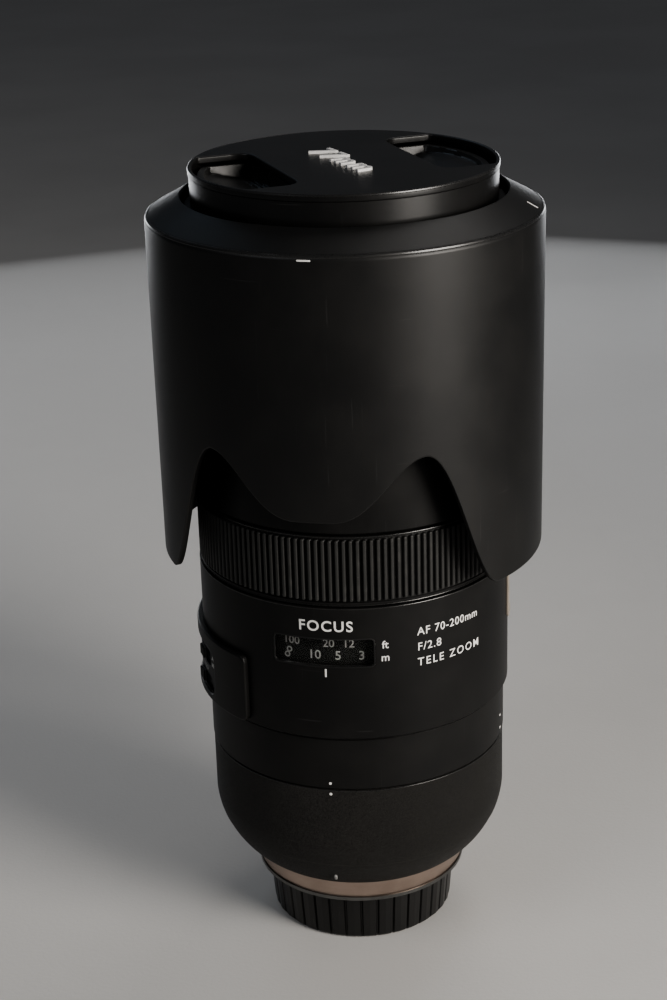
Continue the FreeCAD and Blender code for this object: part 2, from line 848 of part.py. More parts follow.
def make_rear_barrel():
    shell = turned("rear_barrel_shell", [
        (D.rear_web_bore, D.rear_barrel_low),
        (D.rear_barrel_low_radius, D.rear_barrel_low, D.rear_barrel_taper_bend),
        (D.rear_barrel_lip_radius, D.rear_barrel_lip_high),
        (D.rear_barrel_lip_radius + D.rear_barrel_lip_step,
         D.rear_barrel_lip_high + D.rear_barrel_lip_step, D.rear_barrel_taper_bend),
        (D.rear_barrel_radius, D.rear_barrel_taper_high),
        (D.rear_barrel_radius, D.rear_barrel_high - D.barrel_chamfer),
        (D.rear_barrel_radius - D.barrel_chamfer, D.rear_barrel_high),
        (D.collar_seat_radius, D.rear_barrel_high), (D.collar_seat_radius, D.window_barrel_low),
        (D.collar_seat_bore, D.window_barrel_low), (D.collar_seat_bore, D.rear_taper_inner_top),
        (D.rear_taper_inner_radius, D.rear_taper_inner_high),
        (D.rear_web_inner_radius, D.rear_web_high), (D.rear_web_bore, D.rear_web_high)])
    keep(without("rear_barrel_solid", shell,
                 mount_screw_rods("rear_barrel_hole", D.fit_gap, D.flange_low)), "rear_barrel")


def make_contacts():
    body = sector("contact_block_body", D.contact_block_inner, D.rear_cell_neck_radius,
                  D.contact_block_low, D.rear_cell_foot, CONTACT_AZIMUTH, CONTACT_SWEEP)
    pins = []
    step = CONTACT_SWEEP / (CONTACT_COUNT + 1)
    for number in range(1, CONTACT_COUNT + 1):
        azimuth = CONTACT_AZIMUTH - CONTACT_SWEEP / 2 + step * number
        pins.append(upright_rod(f"contact_pin_{number}", D.contact_pin_radius, D.contact_pin_low,
                                D.contact_block_low, D.contact_pin_reach, azimuth))
    keep(together("contact_set", [body] + pins), "contact_block")


def make_rear_group():
    cell = turned("rear_group_cell_body", [
        (D.rear_cell_neck_bore, D.rear_cell_foot), (D.rear_cell_neck_radius, D.rear_cell_foot),
        (D.rear_cell_neck_radius, D.rear_web_high), (D.rear_cell_radius, D.rear_web_high),
        (D.rear_cell_radius, D.rear_cell_high), (D.rear_cell_bore, D.rear_cell_high),
        (D.rear_cell_bore, D.rear_cell_step), (D.rear_cell_neck_bore, D.rear_cell_step)])
    keep(cell, "rear_group_cell")
    elements = [lens_element("rear_element_1", D.rear_cell_neck_bore, D.rear_cell_foot),
                lens_element("rear_element_2", D.rear_cell_bore, D.rear_cell_foot)]
    keep(together("rear_group_glass", elements), "rear_group_lenses")


def make_circuit_board():
    disc = ring("circuit_board_disc", D.board_bore, D.board_radius, D.board_low, D.board_high)
    slot = block("circuit_board_slot", (-D.board_slot_half_width, D.board_slot_half_width),
                 THROUGH_WALL, (D.board_low - OVERRUN, D.board_high + OVERRUN), LOCK_HOLE_AZIMUTH)
    keep(without("circuit_board_solid", disc, [slot]), "main_circuit_board")


# ---------------------------------------------------------------- tripod collar

def make_tripod_collar():
    band = turned("collar_band", [
        (0, D.collar_low), (D.collar_radius - D.barrel_chamfer, D.collar_low),
        (D.collar_radius, D.collar_low + D.barrel_chamfer),
        (D.collar_radius, D.collar_high - D.barrel_chamfer),
        (D.collar_radius - D.barrel_chamfer, D.collar_high), (0, D.collar_high)])
    stem = block("collar_stem", (-D.stem_half_width, D.stem_half_width),
                 (-D.foot_face, THROUGH_WALL[1]), (D.stem_low, D.stem_high), FOOT_AZIMUTH)
    boss = radial_rod("collar_boss", D.lock_boss_radius, D.collar_bore - DEEP_OVERRUN, D.lock_boss_reach,
                      D.lock_height, LOCK_AZIMUTH)
    bore = upright_rod("collar_bore_rod", D.collar_bore, D.collar_low - DEEP_OVERRUN,
                       D.collar_high + DEEP_OVERRUN)
    shaft = radial_rod("collar_shaft_hole", D.lock_shaft_radius + D.fit_gap,
                       D.lock_shaft_start - D.gap, D.lock_boss_reach + OVERRUN, D.lock_height,
                       LOCK_AZIMUTH)
    body = fused("collar_body", [band, stem, boss])
    holes = foot_screw_rods("collar_screw_hole", D.fit_gap, D.foot_screw_tip,
                            D.foot_face + OVERRUN)
    keep(without("collar_solid", body, [bore, shaft] + holes), "tripod_collar")


def foot_screw_rods(name, extra, start, end, radius=None):
    """Four rods at the foot screws' places, pointing away from the lens."""
    rods = []
    radius = D.foot_screw_radius if radius is None else radius
    for side in (-1, 1):
        for level, height in (("low", D.foot_screw_low), ("high", D.foot_screw_high)):
            label = f"{name}_{level}_{'left' if side < 0 else 'right'}"
            rods.append(radial_rod(label, radius + extra, start, end, height, FOOT_AZIMUTH,
                                   side * D.foot_screw_spread))
    return rods


def make_tripod_foot():
    outline = [(-D.foot_plate_half_width, D.foot_face), (D.foot_plate_half_width, D.foot_face),
               (D.foot_plate_half_width, D.dovetail_start), (D.dovetail_half_width, D.dovetail_end),
               (D.dovetail_half_width, D.foot_sole), (-D.dovetail_half_width, D.foot_sole),
               (-D.dovetail_half_width, D.dovetail_end), (-D.foot_plate_half_width, D.dovetail_start)]
    sketch = doc.addObject("Sketcher::SketchObject", "foot_outline")
    draw(sketch, outline)
    plate = doc.addObject("Part::Extrusion", "foot_plate")
    plate.Base = sketch
    plate.DirMode = "Custom"
    plate.Dir = UP
    bind(plate, "LengthFwd", D.foot_high - D.foot_low)
    plate.Solid = True
    place(plate, 0.0, 0.0, D.foot_low, Rotation())
    hole = radial_rod("tripod_hole", D.tripod_hole_radius, D.foot_sole - D.tripod_hole_depth,
                      D.foot_sole + OVERRUN, D.tripod_hole_height, FOOT_AZIMUTH)
    shanks = foot_screw_rods("foot_hole", D.fit_gap, D.foot_face - OVERRUN, D.foot_sole + OVERRUN)
    sinks = foot_screw_rods("foot_sink", D.fit_gap,
                            D.foot_sole - D.foot_screw_head_height - D.foot_screw_sink,
                            D.foot_sole + OVERRUN, D.foot_screw_head_radius)
    keep(without("foot_solid", plate, [hole] + shanks + sinks), "tripod_foot")


def make_foot_screws():
    head_start = D.foot_sole - D.foot_screw_head_height - D.foot_screw_sink
    shanks = foot_screw_rods("foot_screw_shank", 0.0, D.foot_screw_tip + D.gap, head_start)
    heads = foot_screw_rods("foot_screw_head", 0.0, head_start, D.foot_sole - D.foot_screw_sink,
                            D.foot_screw_head_radius)
    screws = []
    for number, (shank, head) in enumerate(zip(shanks, heads), start=1):
        screws.append(fused(f"foot_screw_{number}", [shank, head]))
    keep(together("foot_screw_set", screws), "foot_screws")


def make_collar_lock():
    knob = turned("collar_lock_body", [
        (0, D.lock_shaft_start), (D.lock_shaft_radius, D.lock_shaft_start),
        (D.lock_shaft_radius, D.lock_knob_start), (D.lock_knob_radius - D.lock_knob_foot, D.lock_knob_start),
        (D.lock_knob_radius, D.lock_knob_start + D.lock_knob_foot),
        (D.lock_knob_radius, D.lock_knob_reach - D.lock_knob_edge),
        (D.lock_knob_radius - D.lock_knob_edge, D.lock_knob_reach), (0, D.lock_knob_reach)])
    place(knob, 0.0, 0.0, D.lock_height,
          Rotation(UP, LOCK_AZIMUTH) * Rotation(Vector(1, 0, 0), 90))
    keep(knob, "collar_lock_knob")


# ---------------------------------------------------------------- window barrel

def window_opening(name):
    return rounded_block(name, (D.window_left, D.window_right), THROUGH_WALL,
                         (D.window_low, D.window_high), D.window_corner)


def make_window_barrel():
    shell = turned("window_barrel_shell", [
        (D.collar_seat_bore, D.window_barrel_low), (D.window_barrel_foot_radius, D.window_barrel_low),
        (D.window_barrel_radius, D.window_barrel_low + D.window_barrel_step),
        (D.window_barrel_radius, D.window_barrel_high), (D.focus_bearing_radius, D.window_barrel_high),
        (D.focus_bearing_radius, D.focus_bearing_high), (D.focus_bearing_bore, D.focus_bearing_high),
        (D.focus_bearing_bore, D.window_barrel_roof), (D.window_barrel_bore, D.window_barrel_roof),
        (D.window_barrel_bore, D.window_barrel_floor), (D.collar_seat_bore, D.window_barrel_floor)])
    opening = window_opening("window_barrel_opening")
    keep(without("window_barrel_solid", shell, [opening]), "window_barrel")


def make_distance_window():
    pane = ring("window_pane", D.window_glass_inner, D.window_glass_outer,
                D.window_low - OVERRUN, D.window_high + OVERRUN)
    opening = window_opening("window_pane_outline")
    keep(shared("distance_window_solid", [pane, opening]), "distance_window")


def switch_spans(half_width, half_height, near, far, height, shift):
    return ((shift - half_width, shift + half_width), (-far, -near),
            (height - half_height, height + half_height))


def make_switch_panel():
    band = ring("panel_band", D.window_barrel_radius, D.panel_radius, D.panel_low - OVERRUN,
                D.panel_high + OVERRUN)
    outline = rounded_block("panel_outline", (-D.panel_half_width, D.panel_half_width),
                            THROUGH_WALL, (D.panel_low, D.panel_high),
                            D.panel_corner, PANEL_AZIMUTH)
    slots = []
    for name, (azimuth, height) in SWITCH_PLACES.items():
        spans = switch_spans(SWITCH_SLOT_HALF_WIDTHS[name], D.switch_slot_half_height,
                             D.window_barrel_bore, D.panel_radius + OVERRUN, height, 0.0)
        slots.append(block(f"{name}_slot", *spans, azimuth))
    keep(without("switch_panel_solid", shared("panel_plate", [band, outline]), slots), "switch_panel")


def make_switches():
    for name, (azimuth, height) in SWITCH_PLACES.items():
        rest = SWITCH_SLOT_HALF_WIDTHS[name] - D.switch_half_width - D.gap
        spans = switch_spans(D.switch_half_width, D.switch_half_height, D.switch_inner,
                             D.switch_outer, height, -rest)
        slider = block(f"{name}_slider", *spans, azimuth)
        grooves = []
        for number in (-1, 0, 1):
            centre = number * D.switch_groove_pitch - rest
            spans = switch_spans(D.gap, 2 * D.switch_half_height,
                                 D.switch_outer - D.switch_groove_depth, D.switch_outer + OVERRUN,
                                 height, centre)
            grooves.append(block(f"{name}_groove_{number + 2}", *spans, azimuth))
        keep(without(f"{name}_solid", slider, grooves), name)


def make_side_badge():
    band = ring("badge_band", D.window_barrel_radius, D.badge_radius, D.badge_low - OVERRUN,
                D.badge_high + OVERRUN)
    outline = rounded_block("badge_outline", (-D.badge_half_width, D.badge_half_width),
                            THROUGH_WALL, (D.badge_low, D.badge_high),
                            D.badge_corner, BADGE_AZIMUTH)
    keep(shared("badge_solid", [band, outline]), "side_badge")


# ---------------------------------------------------------------- focus and zoom rings

def grip_ring(name, bore, radius, seat, low, high, grip_low, grip_high, chamfer):
    """A barrel ring with a recess for its rubber grip."""
    return turned(name, [
        (bore, low), (radius - chamfer, low), (radius, low + chamfer), (radius, grip_low),
        (seat, grip_low), (seat, grip_high), (radius, grip_high), (radius, high - chamfer / 2),
        (radius - chamfer / 2, high), (bore, high)])


def make_focus_ring():
    body = grip_ring("focus_ring_body", D.focus_ring_bore, D.focus_ring_radius, D.focus_grip_seat,
                     D.focus_ring_low, D.focus_ring_high, D.focus_grip_low, D.focus_grip_high,
                     D.focus_ring_chamfer)
    keep(body, "focus_ring")
    keep(ring("focus_grip_body", D.focus_grip_seat, D.focus_grip_radius, D.focus_grip_low,
              D.focus_grip_high), "focus_grip")


def make_focus_drive():
    drum = ring("scale_drum_body", D.scale_drum_bore, D.scale_drum_radius, D.motor_rotor_high,
                D.scale_drum_high)
    keep(drum, "distance_scale_drum")
    keep(ring("motor_rotor_body", D.motor_bore, D.scale_drum_radius, D.motor_rotor_low,
              D.motor_rotor_high), "focus_motor_rotor")
    keep(ring("motor_stator_body", D.motor_bore, D.scale_drum_radius, D.window_barrel_floor,
              D.motor_stator_high), "focus_motor_stator")


def make_zoom_ring():
    body = grip_ring("zoom_ring_body", D.zoom_ring_bore, D.zoom_ring_radius, D.zoom_grip_seat,
                     D.zoom_ring_low, D.zoom_ring_high, D.zoom_grip_low, D.zoom_grip_high,
                     D.focus_ring_chamfer)
    keep(body, "zoom_ring")
    keep(ring("zoom_grip_body", D.zoom_grip_seat, D.zoom_grip_radius, D.zoom_grip_low,
              D.zoom_grip_high), "zoom_grip")


def make_zoom_cam_tube():
    tube = ring("cam_tube_body", D.cam_tube_bore, D.cam_tube_radius, D.cam_tube_low,
                D.cam_tube_high)
    band = ring("cam_key_band", D.cam_tube_radius - D.gap, D.zoom_ring_bore, D.cam_key_low,
                D.cam_key_high)
    spokes = []
    for number, azimuth in enumerate(ROLLER_AZIMUTHS, start=1):
        spokes.append(block(f"cam_key_{number}", (-D.cam_key_half_width, D.cam_key_half_width),
                            THROUGH_WALL, (D.cam_key_low, D.cam_key_high), azimuth))
    keys = shared("cam_keys", [band, together("cam_spokes", spokes)])
    variator = helical_slots("variator_cam_slots", D.variator_middle, D.variator_travel, 0)
    compensator = helical_slots("compensator_cam_slots", D.compensator_middle,
                                D.compensator_travel, COMPENSATOR_TURN)
    body = fused("cam_tube_keyed", [tube, keys])
    keep(without("cam_tube_solid", body, [variator, compensator]), "zoom_cam_tube")


# ---------------------------------------------------------------- inside the guide tube

def make_guide_tube():
    tube = turned("guide_tube_body", [
        (D.guide_bore, D.guide_low), (D.guide_radius, D.guide_low),
        (D.guide_radius, D.window_barrel_low), (D.collar_seat_bore, D.window_barrel_low),
        (D.collar_seat_bore, D.window_barrel_floor), (D.guide_radius, D.window_barrel_floor),
        (D.guide_radius, D.guide_high), (D.guide_bore, D.guide_high)])
    slots = straight_slots("variator_guide_slot", D.variator_middle, D.variator_travel, 0)
    slots += straight_slots("compensator_guide_slot", D.compensator_middle, D.compensator_travel,
                            COMPENSATOR_TURN)
    keep(without("guide_tube_solid", tube, slots), "guide_tube")


def sliding_cell(name, low, high, rim):
    """A tube that holds glass of the given rim radius on a lip."""
    lip = D.cell_lip
    return turned(name, [
        (rim - lip, low), (D.cell_radius, low), (D.cell_radius, high), (rim, high),
        (rim, low + lip), (rim - lip, low + lip)])


def make_variator():
    low, rim = D.variator_low, D.variator_rim
    cell = sliding_cell("variator_tube", low, D.variator_high, rim)
    keep(with_rollers("variator_cell_solid", cell, D.variator_middle, 0), "variator_cell")
    elements = [lens_element("variator_element_1", rim, low),
                lens_element("variator_element_2", rim, low)]
    keep(together("variator_glass", elements), "variator_lenses")


def make_compensator():
    low, rim = D.compensator_low, D.compensator_rim
    cell = sliding_cell("compensator_tube", low, D.compensator_high, rim)
    keep(with_rollers("compensator_cell_solid", cell, D.compensator_middle, COMPENSATOR_TURN),
         "compensator_cell")
    keep(lens_element("compensator_element", rim, low), "compensator_lenses")


def make_focus_group():
    low, rim = D.focus_cell_low, D.focus_cell_rim
    keep(sliding_cell("focus_cell_tube", low, D.focus_cell_high, rim), "focus_cell")
    elements = [lens_element("focus_element_1", rim, low), lens_element("focus_element_2", rim, low)]
    keep(together("focus_glass", elements), "focus_lenses")


def make_stabiliser():
    keep(ring("stabiliser_base_body", D.stabiliser_bore, D.guide_bore, D.stabiliser_base_low,
              D.stabiliser_base_high), "stabiliser_base")
    keep(ring("stabiliser_frame_body", D.stabiliser_frame_bore, D.stabiliser_frame_radius,
              D.stabiliser_base_high + D.gap, D.stabiliser_frame_high), "stabiliser_frame")
    bore, low, high = D.stabiliser_bore, D.stabiliser_frame_high + D.gap, D.stabiliser_cell_high
    lip, wall, plate = D.stabiliser_lip, D.stabiliser_wall, D.stabiliser_plate
    cell = turned("stabiliser_cell_body", [
        (bore - lip, low), (D.stabiliser_cell_radius, low), (D.stabiliser_cell_radius, low + plate),
        (bore + wall, low + plate), (bore + wall, high), (bore, high), (bore, low + lip),
        (bore - lip, low + lip)])
    keep(cell, "stabiliser_cell")
    keep(lens_element("stabiliser_element", bore, low), "stabiliser_lenses")


def blade_level(number):
    return D.blade_low + number * D.blade_pitch


def make_iris():
    plate = ring("iris_base_body", D.iris_bore, D.guide_bore, D.iris_base_low, D.iris_base_high)
    pivots = []
    step = 360 / BLADE_COUNT
    for number in range(BLADE_COUNT):
        pivots.append(upright_rod(f"iris_pivot_{number + 1}", D.blade_pivot_radius + D.fit_gap,
                                  D.iris_base_low - OVERRUN, D.iris_base_high + OVERRUN,
                                  D.blade_pivot_reach, step * number))
    keep(without("iris_base_solid", plate, pivots), "iris_base_plate")
    for number in range(BLADE_COUNT):
        make_iris_blade(number, step * number)
    keep(ring("iris_ring_body", D.iris_ring_bore, D.cell_radius, D.iris_ring_low,
              D.iris_ring_high), "iris_drive_ring")


def make_iris_blade(number, azimuth):
    """A crescent leaf with an ear and a pivot pin that stands in the base plate."""
    low = blade_level(number)
    high = low + D.blade_thickness
    name = f"iris_blade_{number + 1}"
    middle = azimuth + value_of(D.blade_sweep) / 2 - BLADE_LEAD
    leaf = sector(f"{name}_leaf", D.blade_inner, D.blade_outer, low, high, middle,
                  value_of(D.blade_sweep))
    ear = upright_rod(f"{name}_ear", D.blade_ear_radius, low, high, D.blade_pivot_reach, azimuth)
    neck = block(f"{name}_neck", (-D.blade_ear_radius, D.blade_ear_radius),
                 (-D.blade_pivot_reach, -D.blade_outer + OVERRUN), (low, high), azimuth)
    pin = upright_rod(f"{name}_pin", D.blade_pivot_radius, D.iris_base_low + D.gap, low,
                      D.blade_pivot_reach, azimuth)
    keep(fused(f"{name}_solid", [leaf, ear, neck, pin]), name)


# ---------------------------------------------------------------- front end

def make_front_barrel():
    shell = turned("front_barrel_shell", [
        (D.guide_bore, D.guide_high), (D.front_barrel_neck_radius, D.guide_high),
        (D.front_barrel_neck_radius, D.front_barrel_shoulder),
        (D.front_barrel_radius, D.front_barrel_shoulder), (D.front_barrel_radius, D.hood_groove_low),
        (D.hood_groove_radius, D.hood_groove_low), (D.hood_groove_radius, D.hood_groove_high),
        (D.front_barrel_radius, D.hood_groove_high), (D.front_barrel_radius, D.front_rim - D.barrel_chamfer),
        (D.front_barrel_radius - D.barrel_chamfer, D.front_rim), (D.thread_radius, D.front_rim),
        (D.thread_radius, D.thread_low), (D.front_barrel_bore, D.thread_low),
        (D.front_barrel_bore, D.front_barrel_floor), (D.guide_bore, D.front_barrel_floor)])
    notches = []
    width = D.hood_notch_half_width
    for number, azimuth in enumerate(HOOD_TAB_AZIMUTHS, start=1):
        bar = ring(f"hood_notch_band_{number}", D.hood_groove_radius, D.front_barrel_radius + OVERRUN,
                   D.hood_groove_high - OVERLAP, D.front_rim + OVERRUN)
        spoke = block(f"hood_notch_spoke_{number}", (-width, width), THROUGH_WALL,
                      (D.hood_groove_high - OVERRUN, D.front_rim + DEEP_OVERRUN), azimuth + HOOD_UNLOCK_TURN)
        notches.append(shared(f"hood_notch_{number}", [bar, spoke]))
    keep(without("front_barrel_solid", shell, notches), "front_barrel")


def make_front_group():
    cell = turned("front_cell_body", [
        (D.front_cell_lip, D.front_barrel_floor), (D.front_barrel_bore, D.front_barrel_floor),
        (D.front_barrel_bore, D.front_cell_high), (D.front_lens_rim, D.front_cell_high),
        (D.front_lens_rim, D.front_cell_lip_high), (D.front_cell_lip, D.front_cell_lip_high)])
    keep(cell, "front_group_cell")
    keep(ring("retaining_ring_body", D.retaining_ring_bore, D.front_barrel_bore,
              D.retaining_ring_low, D.retaining_ring_high), "front_retaining_ring")
    elements = []
    for number in (1, 2, 3):
        elements.append(lens_element(f"front_element_{number}", D.front_lens_rim,
                                     D.front_cell_lip_high))
    keep(together("front_group_glass", elements), "front_group_lenses")


def make_hood():
    shell = turned("hood_tube", [
        (D.hood_bore, D.hood_collar_low), (D.hood_collar_radius, D.hood_collar_low),
        (D.hood_collar_radius, D.hood_collar_high),
        (D.hood_radius - D.hood_wall, D.hood_side_high - D.hood_roof_drop),
        (D.hood_rim_radius - D.hood_wall, D.hood_rim), (D.hood_rim_radius, D.hood_rim),
        (D.hood_radius, D.hood_side_high, D.hood_shoulder_bend),
        (D.hood_shoulder_radius, D.hood_shoulder), (D.hood_mouth_radius, D.hood_mouth),
        (D.hood_bore, D.hood_mouth_edge)])
    tabs = []
    for number, azimuth in enumerate(HOOD_TAB_AZIMUTHS, start=1):
        band = ring(f"hood_tab_band_{number}", D.hood_tab_radius, D.hood_bore + D.gap,
                    D.hood_tab_low, D.hood_tab_high)
        width = D.hood_tab_half_width
        spoke = block(f"hood_tab_spoke_{number}", (-width, width), THROUGH_WALL,
                      (D.hood_tab_low, D.hood_tab_high), azimuth)
        tabs.append(shared(f"hood_tab_{number}", [band, spoke]))
    body = fused("hood_body", [shell] + tabs)
    keep(without("hood_solid", body, [petal_cutter("hood_petal_cutter")]), "hood_shell")


def make_front_cap():
    shell = turned("cap_shell", [
        (0, D.cap_skirt_low), (D.cap_skirt_radius, D.cap_skirt_low), (D.cap_skirt_radius, D.cap_seat),
        (D.cap_radius, D.cap_seat), (D.cap_radius, D.cap_top - D.cap_edge),
        (D.cap_radius - D.cap_edge, D.cap_top), (0, D.cap_top), (0, D.cap_roof),
        (D.cap_bore, D.cap_roof), (D.cap_bore, D.cap_step), (D.cap_skirt_bore, D.cap_step),
        (D.cap_skirt_bore, D.cap_floor), (0, D.cap_floor)])
    cuts = []
    for side, azimuth in (("left", PINCH_AZIMUTH + 180), ("right", PINCH_AZIMUTH)):
        disc = upright_rod(f"recess_{side}_rim", D.recess_radius, D.cap_roof - OVERRUN, D.cap_top + OVERRUN)
        box = block(f"recess_{side}_box", (-D.recess_half_width, D.recess_half_width),
                    (-D.cap_radius, -D.recess_start),
                    (D.cap_roof - OVERRUN, D.cap_top + OVERRUN), azimuth)
        cuts.append(shared(f"recess_{side}", [disc, box]))
        cuts.append(block(f"claw_window_{side}",
                          (-D.claw_window_half_width, D.claw_window_half_width),
                          (-D.cap_radius, -D.tab_leg_inner),
                          (D.claw_window_low, D.claw_window_high), azimuth))
    keep(without("cap_solid", shell, cuts), "front_cap_body")


def make_pinch_tab(side, azimuth):
    """A finger plate with an upright wall to push on and a claw that holds the filter thread."""
    def disc(part, radius, low, high):
        return upright_rod(f"tab_{side}_{part}", radius, low, high)

    def bar(part, half_width, start, end, low, high):
        return block(f"tab_{side}_{part}", (-half_width, half_width), (-end, -start),
                     (low, high), azimuth)

    plate = shared(f"tab_{side}_plate", [
        disc("plate_rim", D.tab_radius, D.tab_low, D.tab_high),
        bar("plate_bar", D.tab_half_width, D.tab_wall_inner, D.cap_radius, D.tab_low, D.tab_high)])
    wall = bar("wall", D.tab_wall_half_width, D.tab_wall_inner, D.tab_wall_outer,
               D.tab_high - OVERLAP, D.tab_wall_high)
    leg = bar("leg", D.tab_leg_half_width, D.tab_leg_inner, D.tab_leg_outer,
              D.tab_leg_low, D.tab_low + OVERLAP)
    claw = shared(f"tab_{side}_claw", [
        disc("claw_rim", D.tab_claw_radius, D.tab_leg_low, D.tab_claw_high),
        bar("claw_bar", D.tab_leg_half_width, D.tab_leg_inner, D.cap_radius,
            D.tab_leg_low, D.tab_claw_high)])
    keep(fused(f"tab_{side}_solid", [plate, wall, leg, claw]), f"pinch_tab_{side}")


def make_cap_springs():
    """Two plain sleeves the size of the return springs that push the pinch tabs apart."""
    springs = []
    for number, side in enumerate((-1, 1), start=1):
        offset = side * D.spring_spread
        coil = radial_rod(f"cap_spring_{number}_outer", D.spring_radius, -D.spring_reach,
                          D.spring_reach, D.spring_height, PINCH_AZIMUTH, offset)
        bore = radial_rod(f"cap_spring_{number}_inner", D.spring_bore, -D.spring_reach - OVERRUN,
                          D.spring_reach + OVERRUN, D.spring_height, PINCH_AZIMUTH, offset)
        springs.append(without(f"cap_spring_{number}", coil, [bore]))
    keep(together("cap_spring_pair", springs), "cap_springs")


D.variator_middle = (D.variator_low + D.variator_high) / 2
D.compensator_middle = (D.compensator_low + D.compensator_high) / 2

make_rear_cap()
make_bayonet_mount()
make_mount_screws()
make_trim_ring()
make_rear_barrel()
make_contacts()
make_rear_group()
make_circuit_board()
make_tripod_collar()
make_tripod_foot()
make_foot_screws()
make_collar_lock()
make_window_barrel()
make_distance_window()
make_switch_panel()
make_switches()
make_side_badge()
make_focus_ring()
make_focus_drive()
make_zoom_ring()
make_zoom_cam_tube()
make_guide_tube()
make_variator()
make_compensator()
make_focus_group()
make_stabiliser()
make_iris()
make_front_barrel()
make_front_group()
make_hood()
make_front_cap()
make_pinch_tab("left", PINCH_AZIMUTH + 180)
make_pinch_tab("right", PINCH_AZIMUTH)
make_cap_springs()

doc.recompute()

for item in doc.Objects:
    if "Invalid" in item.State or "Error" in item.State:
        raise RuntimeError(f"{item.Label} did not build: {item.State}")
for item in pieces:
    if item.Shape.isNull() or not item.Shape.isValid() or not item.Shape.Solids:
        raise RuntimeError(f"{item.Label} has no valid solid")

os.makedirs("parts", exist_ok=True)
for item in pieces:
    item.Shape.exportStep(f"parts/{item.Label}.step")
print(f"{len(pieces)} sub-parts written")
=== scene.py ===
import json
import math

import bmesh
import bpy
from mathutils import Matrix, Vector


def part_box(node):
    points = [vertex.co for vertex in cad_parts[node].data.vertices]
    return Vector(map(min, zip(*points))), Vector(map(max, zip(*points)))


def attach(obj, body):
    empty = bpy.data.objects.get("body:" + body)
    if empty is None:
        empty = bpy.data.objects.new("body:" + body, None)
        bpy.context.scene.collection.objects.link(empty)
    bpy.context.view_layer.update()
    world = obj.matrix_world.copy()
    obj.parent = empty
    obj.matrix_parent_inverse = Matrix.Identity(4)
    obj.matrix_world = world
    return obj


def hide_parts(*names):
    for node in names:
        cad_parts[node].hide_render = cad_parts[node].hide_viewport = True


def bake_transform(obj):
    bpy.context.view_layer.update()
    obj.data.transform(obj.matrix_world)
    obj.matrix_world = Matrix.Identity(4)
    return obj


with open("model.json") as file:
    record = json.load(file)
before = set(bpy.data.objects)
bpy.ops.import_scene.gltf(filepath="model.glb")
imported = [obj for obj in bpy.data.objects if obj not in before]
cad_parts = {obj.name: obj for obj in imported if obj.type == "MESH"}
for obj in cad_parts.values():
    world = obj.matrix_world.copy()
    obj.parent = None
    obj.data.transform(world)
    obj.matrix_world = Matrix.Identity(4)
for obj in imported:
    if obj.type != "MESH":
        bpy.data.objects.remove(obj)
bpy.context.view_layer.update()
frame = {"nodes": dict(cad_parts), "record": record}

# Lengths are millimetres unless a name says otherwise, and MM turns them into Blender's metres.
# An azimuth is counted in degrees from -Y, the side of the distance window, towards +X.
MM = 0.001
NODES = frame["nodes"]
BODY_OF = {node: body for body, nodes in frame["record"]["behaviour"]["bodies"].items() for node in nodes}
SLOT_OF = {row["node"]: row["material_slot"] for row in frame["record"]["subparts"]}


def reach(node):
    """A round node's largest radius, lowest height and highest height."""
    low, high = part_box(node)
    return high.x / MM, low.z / MM, high.z / MM


def on_ring(azimuth, radius, height):
    """A point round the optical axis, in metres."""
    turn = math.radians(azimuth)
    return Vector((radius * math.sin(turn), -radius * math.cos(turn), height)) * MM


def smooth_step(share):
    share = min(max(share, 0.0), 1.0)
    return (1 - math.cos(math.pi * share)) / 2


def fold(azimuth, pitch):
    """The azimuth's signed distance from the nearest multiple of the pitch."""
    return (azimuth + pitch / 2) % pitch - pitch / 2


# ---------------------------------------------------------------- materials

NOISE_ROUGHNESS = 0.55


